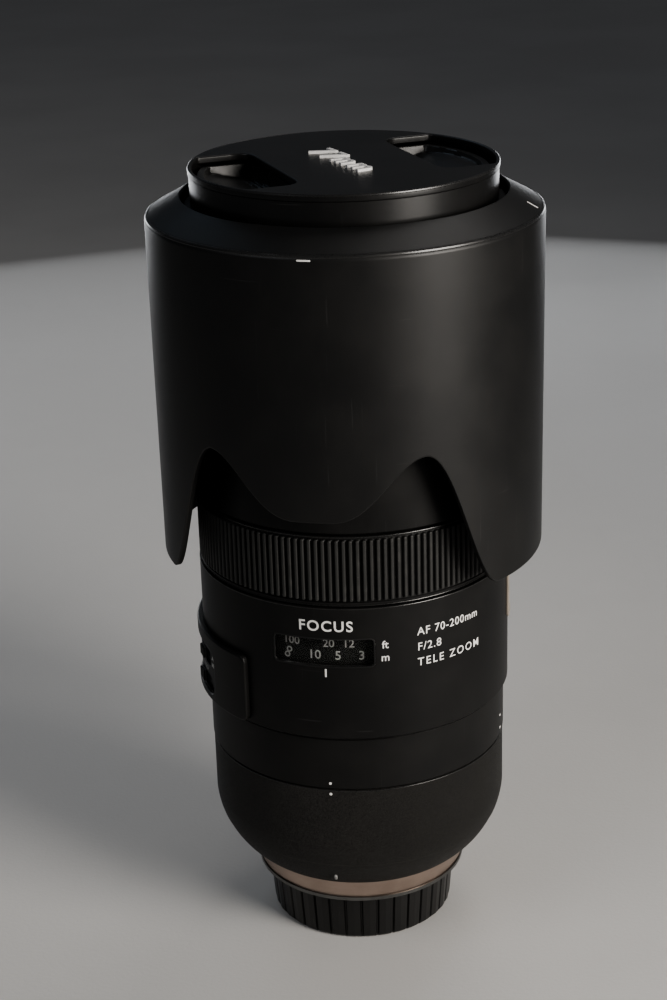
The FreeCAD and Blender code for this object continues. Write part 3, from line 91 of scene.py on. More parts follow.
class Finish:
    """A procedural material: one Principled shader whose colour, roughness and bump come from noise."""

    def __init__(self, name, **sockets):
        self.material = bpy.data.materials.new(name)
        self.material.use_nodes = True
        self.tree = self.material.node_tree
        self.shader = self.tree.nodes["Principled BSDF"]
        self.coordinates = self.tree.nodes.new("ShaderNodeTexCoord").outputs["Object"]
        self.height = None
        for socket, value in sockets.items():
            self.shader.inputs[socket.replace("_", " ")].default_value = value

    def node(self, kind, settings=None, **inputs):
        made = self.tree.nodes.new(kind)
        for key, value in (settings or {}).items():
            setattr(made, key, value)
        for key, value in inputs.items():
            socket = made.inputs[key.replace("_", " ")]
            if isinstance(value, bpy.types.NodeSocket):
                self.tree.links.new(value, socket)
            else:
                socket.default_value = value
        return made

    def noise(self, grain, stretch=(1, 1, 1), detail=3.0, shift=(0, 0, 0)):
        """Noise whose grains are about that many millimetres, longer where stretch is above 1."""
        scale = tuple(1 / (grain * MM * part) for part in stretch)
        mapping = self.node("ShaderNodeMapping", Vector=self.coordinates, Scale=scale, Location=shift)
        texture = self.node("ShaderNodeTexNoise", Vector=mapping.outputs["Vector"], Scale=1.0,
                            Detail=detail, Roughness=NOISE_ROUGHNESS)
        return texture.outputs["Fac"]

    def cells(self, grain):
        """Distance from the middle of round grains of about that many millimetres."""
        mapping = self.node("ShaderNodeMapping", Vector=self.coordinates, Scale=(1 / (grain * MM),) * 3)
        texture = self.node("ShaderNodeTexVoronoi", Vector=mapping.outputs["Vector"])
        return texture.outputs["Distance"]

    def ramp(self, value, start, end, low=0.0, high=1.0):
        made = self.node("ShaderNodeMapRange", {"interpolation_type": "SMOOTHSTEP"}, Value=value)
        for key, number in (("From Min", start), ("From Max", end), ("To Min", low), ("To Max", high)):
            made.inputs[key].default_value = number
        return made.outputs["Result"]

    def blend(self, share, first, second):
        made = self.node("ShaderNodeMix", {"data_type": "RGBA"})
        made.inputs["Factor"].default_value = 0.5
        self.tree.links.new(share, made.inputs["Factor"])
        for socket, colour in ((made.inputs[6], first), (made.inputs[7], second)):
            if isinstance(colour, bpy.types.NodeSocket):
                self.tree.links.new(colour, socket)
            else:
                socket.default_value = (*colour, 1)
        return made.outputs[2]

    def combine(self, operation, first, second):
        made = self.node("ShaderNodeMath", {"operation": operation})
        for socket, value in zip(made.inputs, (first, second)):
            if isinstance(value, bpy.types.NodeSocket):
                self.tree.links.new(value, socket)
            else:
                socket.default_value = value
        return made.outputs[0]

    def colour(self, value):
        self.tree.links.new(value, self.shader.inputs["Base Color"])
        return self

    def roughness(self, value):
        self.tree.links.new(value, self.shader.inputs["Roughness"])
        return self

    def bump(self, height, depth):
        """Adds a relief of that many millimetres to what the finish already has."""
        made = self.node("ShaderNodeBump", Height=height, Strength=1.0, Distance=depth * MM)
        if self.height:
            self.tree.links.new(self.height, made.inputs["Normal"])
        self.height = made.outputs["Normal"]
        self.tree.links.new(self.height, self.shader.inputs["Normal"])
        return self


def black_finish(name, dark, light, grain, relief, rough, gloss=0.4):
    """Black plastic, rubber or paint: a fine relief, cloudy wear and a few faint scratches."""
    made = Finish(name, Specular_IOR_Level=gloss)
    cloud = made.noise(16, detail=5)
    speck = made.noise(grain)
    scratch_up = made.noise(0.5, stretch=(1, 1, 40), detail=1, shift=(3, 1, 0))
    scratch_round = made.noise(0.6, stretch=(30, 30, 1), detail=1, shift=(0, 7, 2))
    scratches = made.combine("MAXIMUM", made.ramp(scratch_up, 0.74, 0.8), made.ramp(scratch_round, 0.75, 0.8))
    base = made.blend(made.ramp(cloud, 0.35, 0.7), (dark,) * 3, (light, light * 0.98, light * 0.95))
    worn = (light * 2 + 0.012,) * 3
    made.colour(made.blend(made.combine("MULTIPLY", scratches, 0.5), base, worn))
    patches = made.ramp(cloud, 0.25, 0.75, rough - 0.015, rough + 0.025)
    made.roughness(made.combine("ADD", patches, made.ramp(speck, 0.3, 0.7, -0.02, 0.02)))
    return made.bump(speck, relief).material


def textured_paint(name):
    """Powder paint with a coarse grain, rubbed a little shinier on its high spots."""
    made = Finish(name, Specular_IOR_Level=0.25)
    grains = made.cells(0.65)
    fine = made.noise(0.3)
    cloud = made.noise(14, detail=5)
    tops = made.ramp(grains, 0.15, 0.6, 1.0, 0.0)
    base = made.blend(made.ramp(cloud, 0.3, 0.7), (0.008, 0.0077, 0.0072), (0.012, 0.0115, 0.0105))
    made.colour(made.blend(made.combine("MULTIPLY", tops, 0.5), base, (0.10, 0.095, 0.088)))
    made.roughness(made.ramp(tops, 0.0, 1.0, 0.56, 0.42))
    made.bump(tops, 0.12)
    return made.bump(fine, 0.02).material


def ridge_rubber(name, top_radius):
    """Matte rubber: its grooves are painted darker as painted shade, its ridge tops paler, partly rubbed wear
    and partly painted highlight, and dust lies here and there.
    """
    made = Finish(name, Specular_IOR_Level=0.35, Sheen_Weight=0.05, Sheen_Roughness=0.5)
    flat = made.node("ShaderNodeVectorMath", {"operation": "MULTIPLY"})
    made.tree.links.new(made.coordinates, flat.inputs[0])
    flat.inputs[1].default_value = (1, 1, 0)
    out = made.node("ShaderNodeVectorMath", {"operation": "LENGTH"})
    made.tree.links.new(flat.outputs["Vector"], out.inputs[0])
    tops = made.ramp(out.outputs["Value"], (top_radius - 0.45) * MM, (top_radius - 0.02) * MM)
    dust = made.ramp(made.noise(3.5, detail=6), 0.52, 0.75)
    lint = made.ramp(made.noise(0.35, detail=1, shift=(4, 4, 4)), 0.75, 0.81)
    # The rubber in a dark copy for the grooves, painted shade, and a pale copy for the ridge tops, painted
    # highlight and rubbed wear.
    groove_painted_shade = made.blend(dust, (0.004, 0.004, 0.004), (0.009, 0.0088, 0.0085))
    ridge = made.blend(dust, (0.030, 0.030, 0.029), (0.048, 0.047, 0.044))
    made.colour(made.blend(made.combine("MULTIPLY", lint, 0.6), made.blend(tops, groove_painted_shade, ridge),
                           (0.2, 0.19, 0.17)))
    made.roughness(made.ramp(dust, 0.0, 1.0, 0.5, 0.68))
    return made.bump(made.noise(0.22), 0.015).material


def turned_metal(name, dark, light, rough):
    """Satin metal with fine turning lines round the axis."""
    made = Finish(name, Metallic=1.0)
    rings = made.noise(0.12, stretch=(400, 400, 1), detail=2)
    cloud = made.noise(9, detail=4)
    made.colour(made.blend(made.ramp(cloud, 0.3, 0.7), dark, light))
    base = made.ramp(rings, 0.3, 0.7, rough - 0.06, rough + 0.08)
    made.roughness(made.combine("ADD", base, made.ramp(cloud, 0.3, 0.7, -0.04, 0.04)))
    return made.bump(rings, 0.004).material


def glass(name, tint, bend, coat):
    """Clear glass with a faint film of fingerprints in its roughness."""
    made = Finish(name, Transmission_Weight=1.0, IOR=bend, Coat_Weight=coat, Coat_Roughness=0.03)
    film = made.ramp(made.noise(5, detail=5), 0.45, 0.7)
    made.colour(made.blend(film, tint, tuple(part * 0.97 for part in tint)))
    return made.roughness(made.ramp(film, 0.0, 1.0, 0.02, 0.07)).material


def ink(name, pale, worn, rough=0.45):
    """Screen-printed or filled paint, a little uneven."""
    made = Finish(name, Specular_IOR_Level=0.4)
    uneven = made.ramp(made.noise(0.5, detail=4), 0.4, 0.75)
    made.colour(made.blend(uneven, pale, worn))
    made.roughness(made.ramp(uneven, 0.0, 1.0, rough, rough + 0.15))
    return made.bump(made.noise(0.25), 0.006).material


def brushed_badge(name):
    """Pale metal, brushed along the optical axis and lacquered."""
    made = Finish(name, Metallic=0.45, Specular_IOR_Level=0.5)
    strokes = made.noise(0.1, stretch=(1, 1, 60), detail=2)
    cloud = made.ramp(made.noise(4, detail=4), 0.3, 0.7)
    made.colour(made.blend(made.combine("MULTIPLY", made.ramp(strokes, 0.3, 0.7), cloud),
                           (0.50, 0.44, 0.375), (0.36, 0.315, 0.265)))
    made.roughness(made.ramp(strokes, 0.3, 0.7, 0.3, 0.42))
    return made.bump(strokes, 0.006).material


def green_board(name):
    """Printed circuit board with paler tracks."""
    made = Finish(name)
    tracks = made.ramp(made.noise(1.5, stretch=(1, 6, 1), detail=0), 0.5, 0.54)
    made.colour(made.blend(tracks, (0.01, 0.07, 0.03), (0.02, 0.14, 0.06)))
    return made.roughness(made.ramp(tracks, 0.0, 1.0, 0.35, 0.25)).material


def pale_floor(name):
    """Plain pale paper with a faint tooth."""
    made = Finish(name, Specular_IOR_Level=0.25)
    cloud = made.noise(180, detail=6)
    made.colour(made.blend(made.ramp(cloud, 0.35, 0.65), (0.60, 0.59, 0.575), (0.64, 0.63, 0.615)))
    made.roughness(made.ramp(cloud, 0.35, 0.65, 0.6, 0.7))
    return made.bump(made.noise(1.2, detail=4), 0.05).material


FINISHES = {
    "textured_barrel": textured_paint("textured_barrel_paint"),
    "black_barrel": black_finish("black_barrel_paint", 0.0085, 0.0125, 0.28, 0.006, 0.42, 0.22),
    "grip_rubber": black_finish("grip_rubber_matte", 0.009, 0.014, 0.25, 0.012, 0.55, 0.35),
    "hood_plastic": black_finish("hood_plastic_matte", 0.008, 0.011, 0.25, 0.008, 0.41, 0.42),
    "cap_plastic": black_finish("cap_plastic_satin", 0.007, 0.010, 0.3, 0.004, 0.34, 0.45),
    "black_plastic": black_finish("black_plastic_satin", 0.010, 0.015, 0.3, 0.01, 0.4),
    "switch_plastic": black_finish("switch_plastic_matte", 0.012, 0.02, 0.2, 0.01, 0.45),
    "pale_gold": turned_metal("pale_gold_anodised", (0.40, 0.315, 0.265), (0.48, 0.385, 0.33), 0.38),
    "badge_metal": brushed_badge("badge_metal_brushed"),
    "mount_steel": turned_metal("mount_steel_turned", (0.14, 0.14, 0.137), (0.20, 0.20, 0.195), 0.34),
    "screw_steel": turned_metal("screw_steel_satin", (0.10, 0.10, 0.10), (0.16, 0.16, 0.16), 0.38),
    "inner_metal": turned_metal("inner_metal_anodised", (0.03, 0.03, 0.03), (0.05, 0.05, 0.05), 0.45),
    "motor_brass": turned_metal("motor_brass_satin", (0.55, 0.38, 0.14), (0.65, 0.47, 0.20), 0.35),
    "blade_black": black_finish("blade_black_matte", 0.008, 0.012, 0.3, 0.004, 0.55),
    "scale_print": black_finish("scale_drum_black", 0.005, 0.008, 0.25, 0.006, 0.55, 0.15),
    "board": green_board("circuit_board_green"),
    "window_glass": glass("window_acrylic", (0.86, 0.87, 0.86), 1.16, 0.0),
    "lens_glass": glass("lens_glass_coated", (0.80, 0.90, 0.86), 1.5, 0.4),
}
# A glossier black painted a shade paler than the black beside it: a painted highlight along the edge beads.
POLISHED_EDGE_PAINTED_HIGHLIGHT = black_finish("polished_edge_painted_highlight", 0.012, 0.018, 0.4, 0.002, 0.28, 0.65)
WHITE_INK = ink("white_ink", (0.86, 0.85, 0.83), (0.74, 0.73, 0.71))
GREY_INK = ink("grey_ink", (0.50, 0.50, 0.49), (0.40, 0.40, 0.39))
DIM_INK = ink("dim_ink", (0.24, 0.24, 0.235), (0.18, 0.18, 0.175))
SILVER_INK = ink("silver_letters", (0.88, 0.87, 0.86), (0.74, 0.73, 0.72), 0.25)


# ---------------------------------------------------------------- mesh tools

def soften(corners, steps=4):
    """A closed outline with its corners rounded. A corner is (x, y) or (x, y, distance cut back)."""
    points = []
    for index, corner in enumerate(corners):
        here = Vector(corner[:2])
        cut = corner[2] if len(corner) > 2 else 0
        if not cut:
            points.append(here)
            continue
        before = Vector(corners[index - 1][:2])
        after = Vector(corners[(index + 1) % len(corners)][:2])
        start = here + (before - here).normalized() * min(cut, (before - here).length / 2)
        end = here + (after - here).normalized() * min(cut, (after - here).length / 2)
        for step in range(steps + 1):
            share = step / steps
            points.append(start * (1 - share) ** 2 + here * 2 * share * (1 - share) + end * share ** 2)
    return [(point.x, point.y) for point in points]


def box_outline(left, right, low, high, corner, steps=4):
    """A rectangle with rounded corners."""
    return soften([(left, low, corner), (right, low, corner), (right, high, corner), (left, high, corner)],
                  steps)


def ring_outline(radius, corners=48, start=0.0):
    """A circle, or a regular polygon where the corners are few."""
    turns = [start + 2 * math.pi * step / corners for step in range(corners)]
    return [(radius * math.cos(turn), radius * math.sin(turn)) for turn in turns]


def lathe(section, columns=360):
    """A solid whose closed half-section of (radius, height) points may change with the azimuth."""
    corners, faces = [], []
    for column in range(columns):
        azimuth = 360 * column / columns
        corners.extend(on_ring(azimuth, radius, height) for radius, height in section(azimuth))
    rows = len(corners) // columns
    for column in range(columns):
        here, beside = column * rows, (column + 1) % columns * rows
        for row in range(rows):
            above = (row + 1) % rows
            faces.append((here + row, beside + row, beside + above, here + above))
    mesh = bpy.data.meshes.new("lathe")
    mesh.from_pydata(corners, [], faces)
    return mesh


def mesh_of(holder):
    """The final mesh of a curve or text object, which is then removed."""
    bpy.context.scene.collection.objects.link(holder)
    shape = holder.evaluated_get(bpy.context.evaluated_depsgraph_get())
    mesh = bpy.data.meshes.new_from_object(shape)
    bpy.data.objects.remove(holder)
    return mesh


def plate(outlines, thickness, bevel):
    """A flat plate with bevelled edges standing on z = 0. The first outline is its rim, the rest holes."""
    curve = bpy.data.curves.new("plate", "CURVE")
    curve.dimensions = "2D"
    curve.fill_mode = "BOTH"
    curve.extrude = (thickness / 2 - bevel) * MM
    curve.bevel_depth = bevel * MM
    curve.bevel_resolution = 2
    curve.offset = -bevel * MM
    for number, outline in enumerate(outlines):
        area = sum(x0 * y1 - x1 * y0 for (x0, y0), (x1, y1) in zip(outline, outline[1:] + outline[:1]))
        points = outline if (area > 0) == (number == 0) else outline[::-1]
        spline = curve.splines.new("POLY")
        spline.points.add(len(points) - 1)
        for point, (x, y) in zip(spline.points, points):
            point.co = (x * MM, y * MM, 0, 1)
        spline.use_cyclic_u = True
    mesh = mesh_of(bpy.data.objects.new("plate", curve))
    mesh.transform(Matrix.Translation((0, 0, thickness / 2 * MM)))
    return mesh


def lettering(text, size, thickness=0.06, bold=0.0, align="CENTER", spacing=1.0):
    """Flat letters standing on z = 0."""
    curve = bpy.data.curves.new("letters", "FONT")
    curve.body = text
    curve.size = size * MM
    curve.extrude = thickness / 2 * MM
    curve.offset = bold * MM
    curve.align_x = align
    curve.align_y = "CENTER"
    curve.space_character = spacing
    curve.resolution_u = 4
    mesh = mesh_of(bpy.data.objects.new("letters", curve))
    mesh.transform(Matrix.Translation((0, 0, thickness / 2 * MM)))
    return mesh


def wrapped(mesh, azimuth, radius, height, step=1.0):
    """Bends a flat mesh round the axis: x runs round it, y runs up it and z points away from it."""
    work = bmesh.new()
    work.from_mesh(mesh)
    start = math.ceil(min(v.co.x for v in work.verts) / MM / step)
    end = math.floor(max(v.co.x for v in work.verts) / MM / step)
    for cut in range(start, end + 1):
        bmesh.ops.bisect_plane(work, geom=work.verts[:] + work.edges[:] + work.faces[:],
                               plane_co=(cut * step * MM, 0, 0), plane_no=(1, 0, 0), dist=1e-7)
    for vertex in work.verts:
        turn = azimuth + math.degrees(vertex.co.x / (radius * MM))
        vertex.co = on_ring(turn, radius + vertex.co.z / MM, height + vertex.co.y / MM)
    work.to_mesh(mesh)
    work.free()
    return mesh


def joined(*meshes):
    """One mesh that holds all of these."""
    work = bmesh.new()
    for mesh in meshes:
        work.from_mesh(mesh)
    made = bpy.data.meshes.new("joined")
    work.to_mesh(made)
    work.free()
    return made


def moved(mesh, x=0.0, y=0.0, z=0.0, turn=0.0):
    mesh.transform(Matrix.Translation(Vector((x, y, z)) * MM) @ Matrix.Rotation(math.radians(turn), 4, "Z"))
    return mesh


def welded(mesh):
    """Joins touching corners and turns every face outwards."""
    work = bmesh.new()
    work.from_mesh(mesh)
    bmesh.ops.remove_doubles(work, verts=work.verts, dist=2e-7)
    bmesh.ops.recalc_face_normals(work, faces=work.faces)
    work.to_mesh(mesh)
    work.free()
    return mesh


def carved(mesh, tool, operation="DIFFERENCE"):
    """A solid mesh, cut by a tool mesh or kept only inside it."""
    solid, cutter = (bpy.data.objects.new("carved", welded(part)) for part in (mesh, tool))
    boolean = solid.modifiers.new("carved", "BOOLEAN")
    boolean.operation = operation
    boolean.solver = "EXACT"
    boolean.object = cutter
    bpy.context.scene.collection.objects.link(cutter)
    made = mesh_of(solid)
    bpy.data.objects.remove(cutter)
    return made


def shade(mesh, sharp=35):
    """Smooth faces that meet at a crease stay crisp."""
    welded(mesh)
    mesh.shade_smooth()
    mesh.set_sharp_from_angle(angle=math.radians(sharp))


def piece(name, mesh, body, slot, material=None, stands_for=(), sharp=35):
    """A finished piece that rides on a CAD body and may stand for some of its nodes."""
    shade(mesh, sharp)
    mesh.name = name
    mesh.materials.clear()
    mesh.materials.append(material or FINISHES[slot])
    made = bpy.data.objects.new(name, mesh)
    bpy.context.scene.collection.objects.link(made)
    weighted = made.modifiers.new("even_normals", "WEIGHTED_NORMAL")
    weighted.keep_sharp = True
    if body:
        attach(made, body)
    if stands_for:
        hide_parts(*stands_for)
    return made


def stood(mesh, azimuth, radius, height):
    """Stands a flat mesh square to the direction of an azimuth: x runs sideways, y up and z outwards."""
    out = on_ring(azimuth, 1, 0).normalized()
    side = Vector((-out.y, out.x, 0))
    up = Vector((0, 0, 1))
    axes = Matrix((side, up, out)).transposed().to_4x4()
    mesh.transform(Matrix.Translation(on_ring(azimuth, radius, height)) @ axes)
    return mesh


# ---------------------------------------------------------------- hood

HOOD_WALL = 1.7
HOOD_RIM_RADIUS = 51.2
HOOD_SIDE_HIGH = 203.0
HOOD_SHOULDER = (50.8, 204.1)
HOOD_MOUTH_RADIUS = 42.34
HOOD_BORE = 41.9
HOOD_COLLAR_RADIUS = 44.0
HOOD_COLLAR_HIGH = 205.3
HOOD_TAB_AZIMUTH = 60
HOOD_TAB_HALF_SWEEP = 5.6
HOOD_TAB_LOW = 198.7
HOOD_TAB_HIGH = 200.1
HOOD_TAB_REACH = 1.0
SHORT_PETAL_TIP = 136.5
SHORT_PETAL_FLAT = 5.0
PETAL_NOTCH_TOP = 152.2
PETAL_NOTCH = 32.0
LONG_PETAL_FLAT = 57.6
HOOD_DASH_AZIMUTH = -0.2
HOOD_LINE_AZIMUTH = 88.5
HOOD_LINE_SHARE = 0.72


def petal_edge(azimuth, long_tip):
    """Height of the hood's edge: short petals front and back, long petals at the sides."""
    away = abs(fold(azimuth, 180))
    if away <= PETAL_NOTCH:
        share = max(away - SHORT_PETAL_FLAT, 0) / (PETAL_NOTCH - SHORT_PETAL_FLAT)
        return SHORT_PETAL_TIP + (PETAL_NOTCH_TOP - SHORT_PETAL_TIP) * smooth_step(share ** 1.15)
    share = (away - PETAL_NOTCH) / (LONG_PETAL_FLAT - PETAL_NOTCH)
    return PETAL_NOTCH_TOP + (long_tip - PETAL_NOTCH_TOP) * smooth_step(share)


def make_hood():
    radius, long_tip, mouth = reach("hood_shell")
    slope = (radius - HOOD_RIM_RADIUS) / (HOOD_SIDE_HIGH - long_tip)

    def wall(height, inset=0.0):
        return HOOD_RIM_RADIUS + slope * (height - long_tip) - inset, height

    def section(azimuth):
        edge = petal_edge(azimuth, long_tip)
        rows = [edge + (HOOD_SIDE_HIGH - edge) * share for share in (0.85, 0.6, 0.35, 0.12)]
        tab = HOOD_TAB_REACH if abs(fold(azimuth - HOOD_TAB_AZIMUTH, 120)) < HOOD_TAB_HALF_SWEEP else 0.0
        outside = [(*HOOD_SHOULDER, 0.45), (*wall(HOOD_SIDE_HIGH), 0.45)] + [wall(row) for row in rows]
        inside = [wall(row, HOOD_WALL) for row in reversed(rows)]
        return soften([
            (HOOD_BORE, mouth - 0.6, 0.25), (HOOD_MOUTH_RADIUS, mouth, 0.25), *outside,
            (*wall(edge), 0.5), (*wall(edge, HOOD_WALL), 0.5), *inside,
            (*wall(HOOD_SIDE_HIGH - 0.9, HOOD_WALL), 0.8), (HOOD_COLLAR_RADIUS, HOOD_COLLAR_HIGH),
            (HOOD_COLLAR_RADIUS, HOOD_TAB_LOW - 2.1), (HOOD_BORE, HOOD_TAB_LOW - 2.1),
            (HOOD_BORE, HOOD_TAB_LOW), (HOOD_BORE - tab, HOOD_TAB_LOW), (HOOD_BORE - tab, HOOD_TAB_HIGH),
            (HOOD_BORE, HOOD_TAB_HIGH)])

    piece("petal_hood", lathe(section, 720), "hood", "hood_plastic", stands_for=["hood_shell"])


def make_hood_marks():
    """White marks: a short dash on the shoulder and a line down the cone."""
    radius, _, mouth = reach("hood_shell")
    dash = wrapped(plate([box_outline(-1.7, 1.7, -0.22, 0.22, 0.2, 2)], 0.05, 0.01), HOOD_DASH_AZIMUTH,
                   radius, HOOD_SIDE_HIGH - 0.1)
    fall = math.degrees(math.atan2(mouth - HOOD_SHOULDER[1], HOOD_SHOULDER[0] - HOOD_MOUTH_RADIUS))
    line = plate([box_outline(-0.3, 0.3, -1.6, 1.6, 0.2, 2)], 0.06, 0.01)
    line.transform(Matrix.Rotation(math.radians(fall - 90), 4, "X"))
    place = (HOOD_MOUTH_RADIUS + (HOOD_SHOULDER[0] - HOOD_MOUTH_RADIUS) * HOOD_LINE_SHARE,
             mouth + (HOOD_SHOULDER[1] - mouth) * HOOD_LINE_SHARE)
    stood(line, HOOD_LINE_AZIMUTH, *place)
    piece("hood_marks", joined(dash, line), "hood", None, WHITE_INK)


# ---------------------------------------------------------------- ribbed rings

RIB_COUNT = 148
RIB_COLUMNS = 10
RIB_HALF_SHARE = 0.3
RIB_END = 0.6
RIB_DEPTH = 0.8


def ribbed_ring(name, node, margin):
    """A rubber sleeve with upright ribs whose ends are round."""
    radius, low, high = reach(node)
    bore = radius - 1.6
    steps = [0.0, 0.04, 0.15, 0.35, 0.6, 1.0]
    rows = [(margin + RIB_END * step / steps[-1]) for step in steps]
    heights = [low + 0.01, *(low + row for row in rows), *(high - row for row in reversed(rows)), high - 0.01]
    pitch = 360 / RIB_COUNT

    def lift(azimuth, height):
        inward = min(height - low, high - height) - margin
        if inward <= 0:
            return 0.0
        roundness = math.sqrt(max(0.0, 1 - (1 - min(inward / RIB_END, 1)) ** 2))
        half = RIB_HALF_SHARE * (0.25 + 0.75 * roundness)
        away = abs(fold(azimuth, pitch)) / pitch
        return smooth_step((half - away) / 0.16 + 0.5) * min(1.0, 0.2 + roundness)

    def section(azimuth):
        outside = [(radius - RIB_DEPTH * (1 - lift(azimuth, height)), height) for height in heights]
        return [(bore, low + 0.01), *outside, (bore, high - 0.01)]

    mesh = lathe(section, RIB_COUNT * RIB_COLUMNS)
    piece(name, mesh, BODY_OF[node], "grip_rubber", ridge_rubber(name, radius), [node], 70)


# ---------------------------------------------------------------- polished edges with a painted highlight

def edge_bead(name, body, radius, height, size):
    """A fine rounded edge, rubbed glossy by handling, its black painted a shade paler than beside it as a
    painted highlight.
    """
    def section(azimuth):
        turns = (math.pi * step / 5 for step in range(10))
        return [(radius + size * math.cos(turn), height + size * math.sin(turn)) for turn in turns]

    piece(name, lathe(section, 480), body, "black_barrel", POLISHED_EDGE_PAINTED_HIGHLIGHT)


def make_edge_beads():
    ring, ring_low, ring_high = reach("focus_ring")
    window = reach("window_barrel")[0]
    rear = reach("rear_barrel")[0]
    rear_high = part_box("tripod_collar")[0].z / MM - 0.3
    cap, _, cap_high = reach("front_cap_body")
    edge_bead("focus_ring_edge_front", "focus", ring - 0.15, ring_high - 0.2, 0.2)
    edge_bead("focus_ring_edge_rear", "focus", ring - 0.2, ring_low + 0.25, 0.2)
    edge_bead("window_barrel_edge", "barrel", window - 0.15, ring_low - 0.52, 0.2)
    edge_bead("rear_barrel_edge", "barrel", rear - 0.14, rear_high - 0.2, 0.18)
    edge_bead("front_cap_edge", "front_cap", cap - 0.42, cap_high - 0.42, 0.48)
    edge_bead("hood_shoulder_edge", "hood", HOOD_SHOULDER[0] - 0.1, HOOD_SHOULDER[1] - 0.5, 0.6)


# ---------------------------------------------------------------- rear cap

CAP_GROOVES = 36
CAP_GROOVE_HALF = 0.75
CAP_GROOVE_DEPTH = 0.55
CAP_LIP = 0.9
REAR_CAP_BORE = 24.9
REAR_CAP_FLOOR = 2.2
CLAW_LOW, CLAW_HIGH, CLAW_RADIUS, CLAW_HALF_SWEEP = 11.8, 13.2, 22.4, 25


def make_rear_cap():
    radius, low, high = reach("rear_cap")
    foot = radius - 1.1
    steps = (0.0, 0.15, 0.5, 0.85, 1.0)

    def wall(share, cut):
        return foot + (radius - foot) * share - cut, low + 0.9 + (high - CAP_LIP - low - 0.9) * share

    def section(azimuth):
        away = abs(fold(azimuth, 360 / CAP_GROOVES))
        cut = CAP_GROOVE_DEPTH * smooth_step((CAP_GROOVE_HALF - away) / 0.7 + 0.5)
        crown = 0.12 * (away / (180 / CAP_GROOVES)) ** 2
        claw = CLAW_RADIUS if abs(fold(azimuth, 120)) < CLAW_HALF_SWEEP else REAR_CAP_BORE
        side = [wall(share, cut + 0.12 - crown) for share in steps]
        return soften([
            (0.05, low), (foot - 0.9 - cut * 0.5, low, 0.5), *side, (radius - 0.05, high - CAP_LIP + 0.25),
            (radius, high - 0.3), (radius - 0.3, high), (REAR_CAP_BORE + 0.2, high),
            (REAR_CAP_BORE, high - 0.2), (REAR_CAP_BORE, CLAW_HIGH), (claw, CLAW_HIGH), (claw, CLAW_LOW),
            (REAR_CAP_BORE, CLAW_LOW),
            (REAR_CAP_BORE, REAR_CAP_FLOOR, 0.6), (0.05, REAR_CAP_FLOOR)], 3)

    piece("rear_cap_ribbed", lathe(section, 1080), "mount_cap", "cap_plastic", stands_for=["rear_cap"])


# ---------------------------------------------------------------- front cap

CAP_WALL_INSET = 0.25
CAP_FACE_LOW = 213.9
CAP_SEAT = 206.5
CAP_SKIRT_RADIUS = 37.2
PINCH_AZIMUTH = 121
RECESS_RADIUS = 38.8
RECESS_START = 18.7
RECESS_HALF_WIDTH = 21.0
RECESS_CORNER = 5.0
TAB_RADIUS = 37.4
TAB_START = 16.6
TAB_HALF_WIDTH = 20.5
TAB_LOW = 208.1
TAB_LEDGE = 213.5
TAB_FLOOR = 209.9
TAB_SCOOP_RISE = 2.6
TAB_WALL = 18.3
TAB_RIM = 2.0
LETTER_LIFT = 0.7
LETTER_TURN = -51.5


def recess_outline(rim, start, half_width, corner, steps=30):
    """A finger recess: three straight sides, and one that follows the cap's rim, pointing along +x."""
    edge = math.asin(half_width / rim)
    turns = [edge * (2 * step / steps - 1) for step in range(steps + 1)]
    arc = [(rim * math.cos(turn), rim * math.sin(turn), 0.8 * (abs(turn) == edge)) for turn in turns]
    return soften([*arc, (start, half_width, corner), (start, -half_width, corner)], 6)


def turned_outline(points, turn):
    angle = math.radians(turn)
    return [(x * math.cos(angle) - y * math.sin(angle), x * math.sin(angle) + y * math.cos(angle))
            for x, y in points]


def make_front_cap():
    radius, low, high = reach("front_cap_body")
    rim = ring_outline(radius, 360)
    recess = recess_outline(RECESS_RADIUS, RECESS_START, RECESS_HALF_WIDTH, RECESS_CORNER)
    openings = [turned_outline(recess, PINCH_AZIMUTH + side - 90) for side in (0, 180)]
    face = moved(plate([rim, *openings], high - CAP_FACE_LOW, 0.5), z=CAP_FACE_LOW)
    wall = radius - CAP_WALL_INSET

    def section(azimuth):
        return soften([
            (0.05, low), (CAP_SKIRT_RADIUS, low, 0.3), (CAP_SKIRT_RADIUS, CAP_SEAT),
            (wall, CAP_SEAT, 0.35), (wall, CAP_FACE_LOW + 0.3), (39.0, CAP_FACE_LOW + 0.3), (39.0, 208.0),
            (35.8, 208.0), (35.8, 204.8), (0.05, 204.8)])

    piece("front_cap_pinch", joined(face, lathe(section)), "front_cap", "cap_plastic",
          stands_for=["front_cap_body"])
    letters = lettering("77mm", 9.8, LETTER_LIFT, 0.12, spacing=1.28)
    piece("front_cap_letters", moved(letters, y=-1.3, z=high - 0.02, turn=LETTER_TURN), "front_cap", None,
          SILVER_INK)


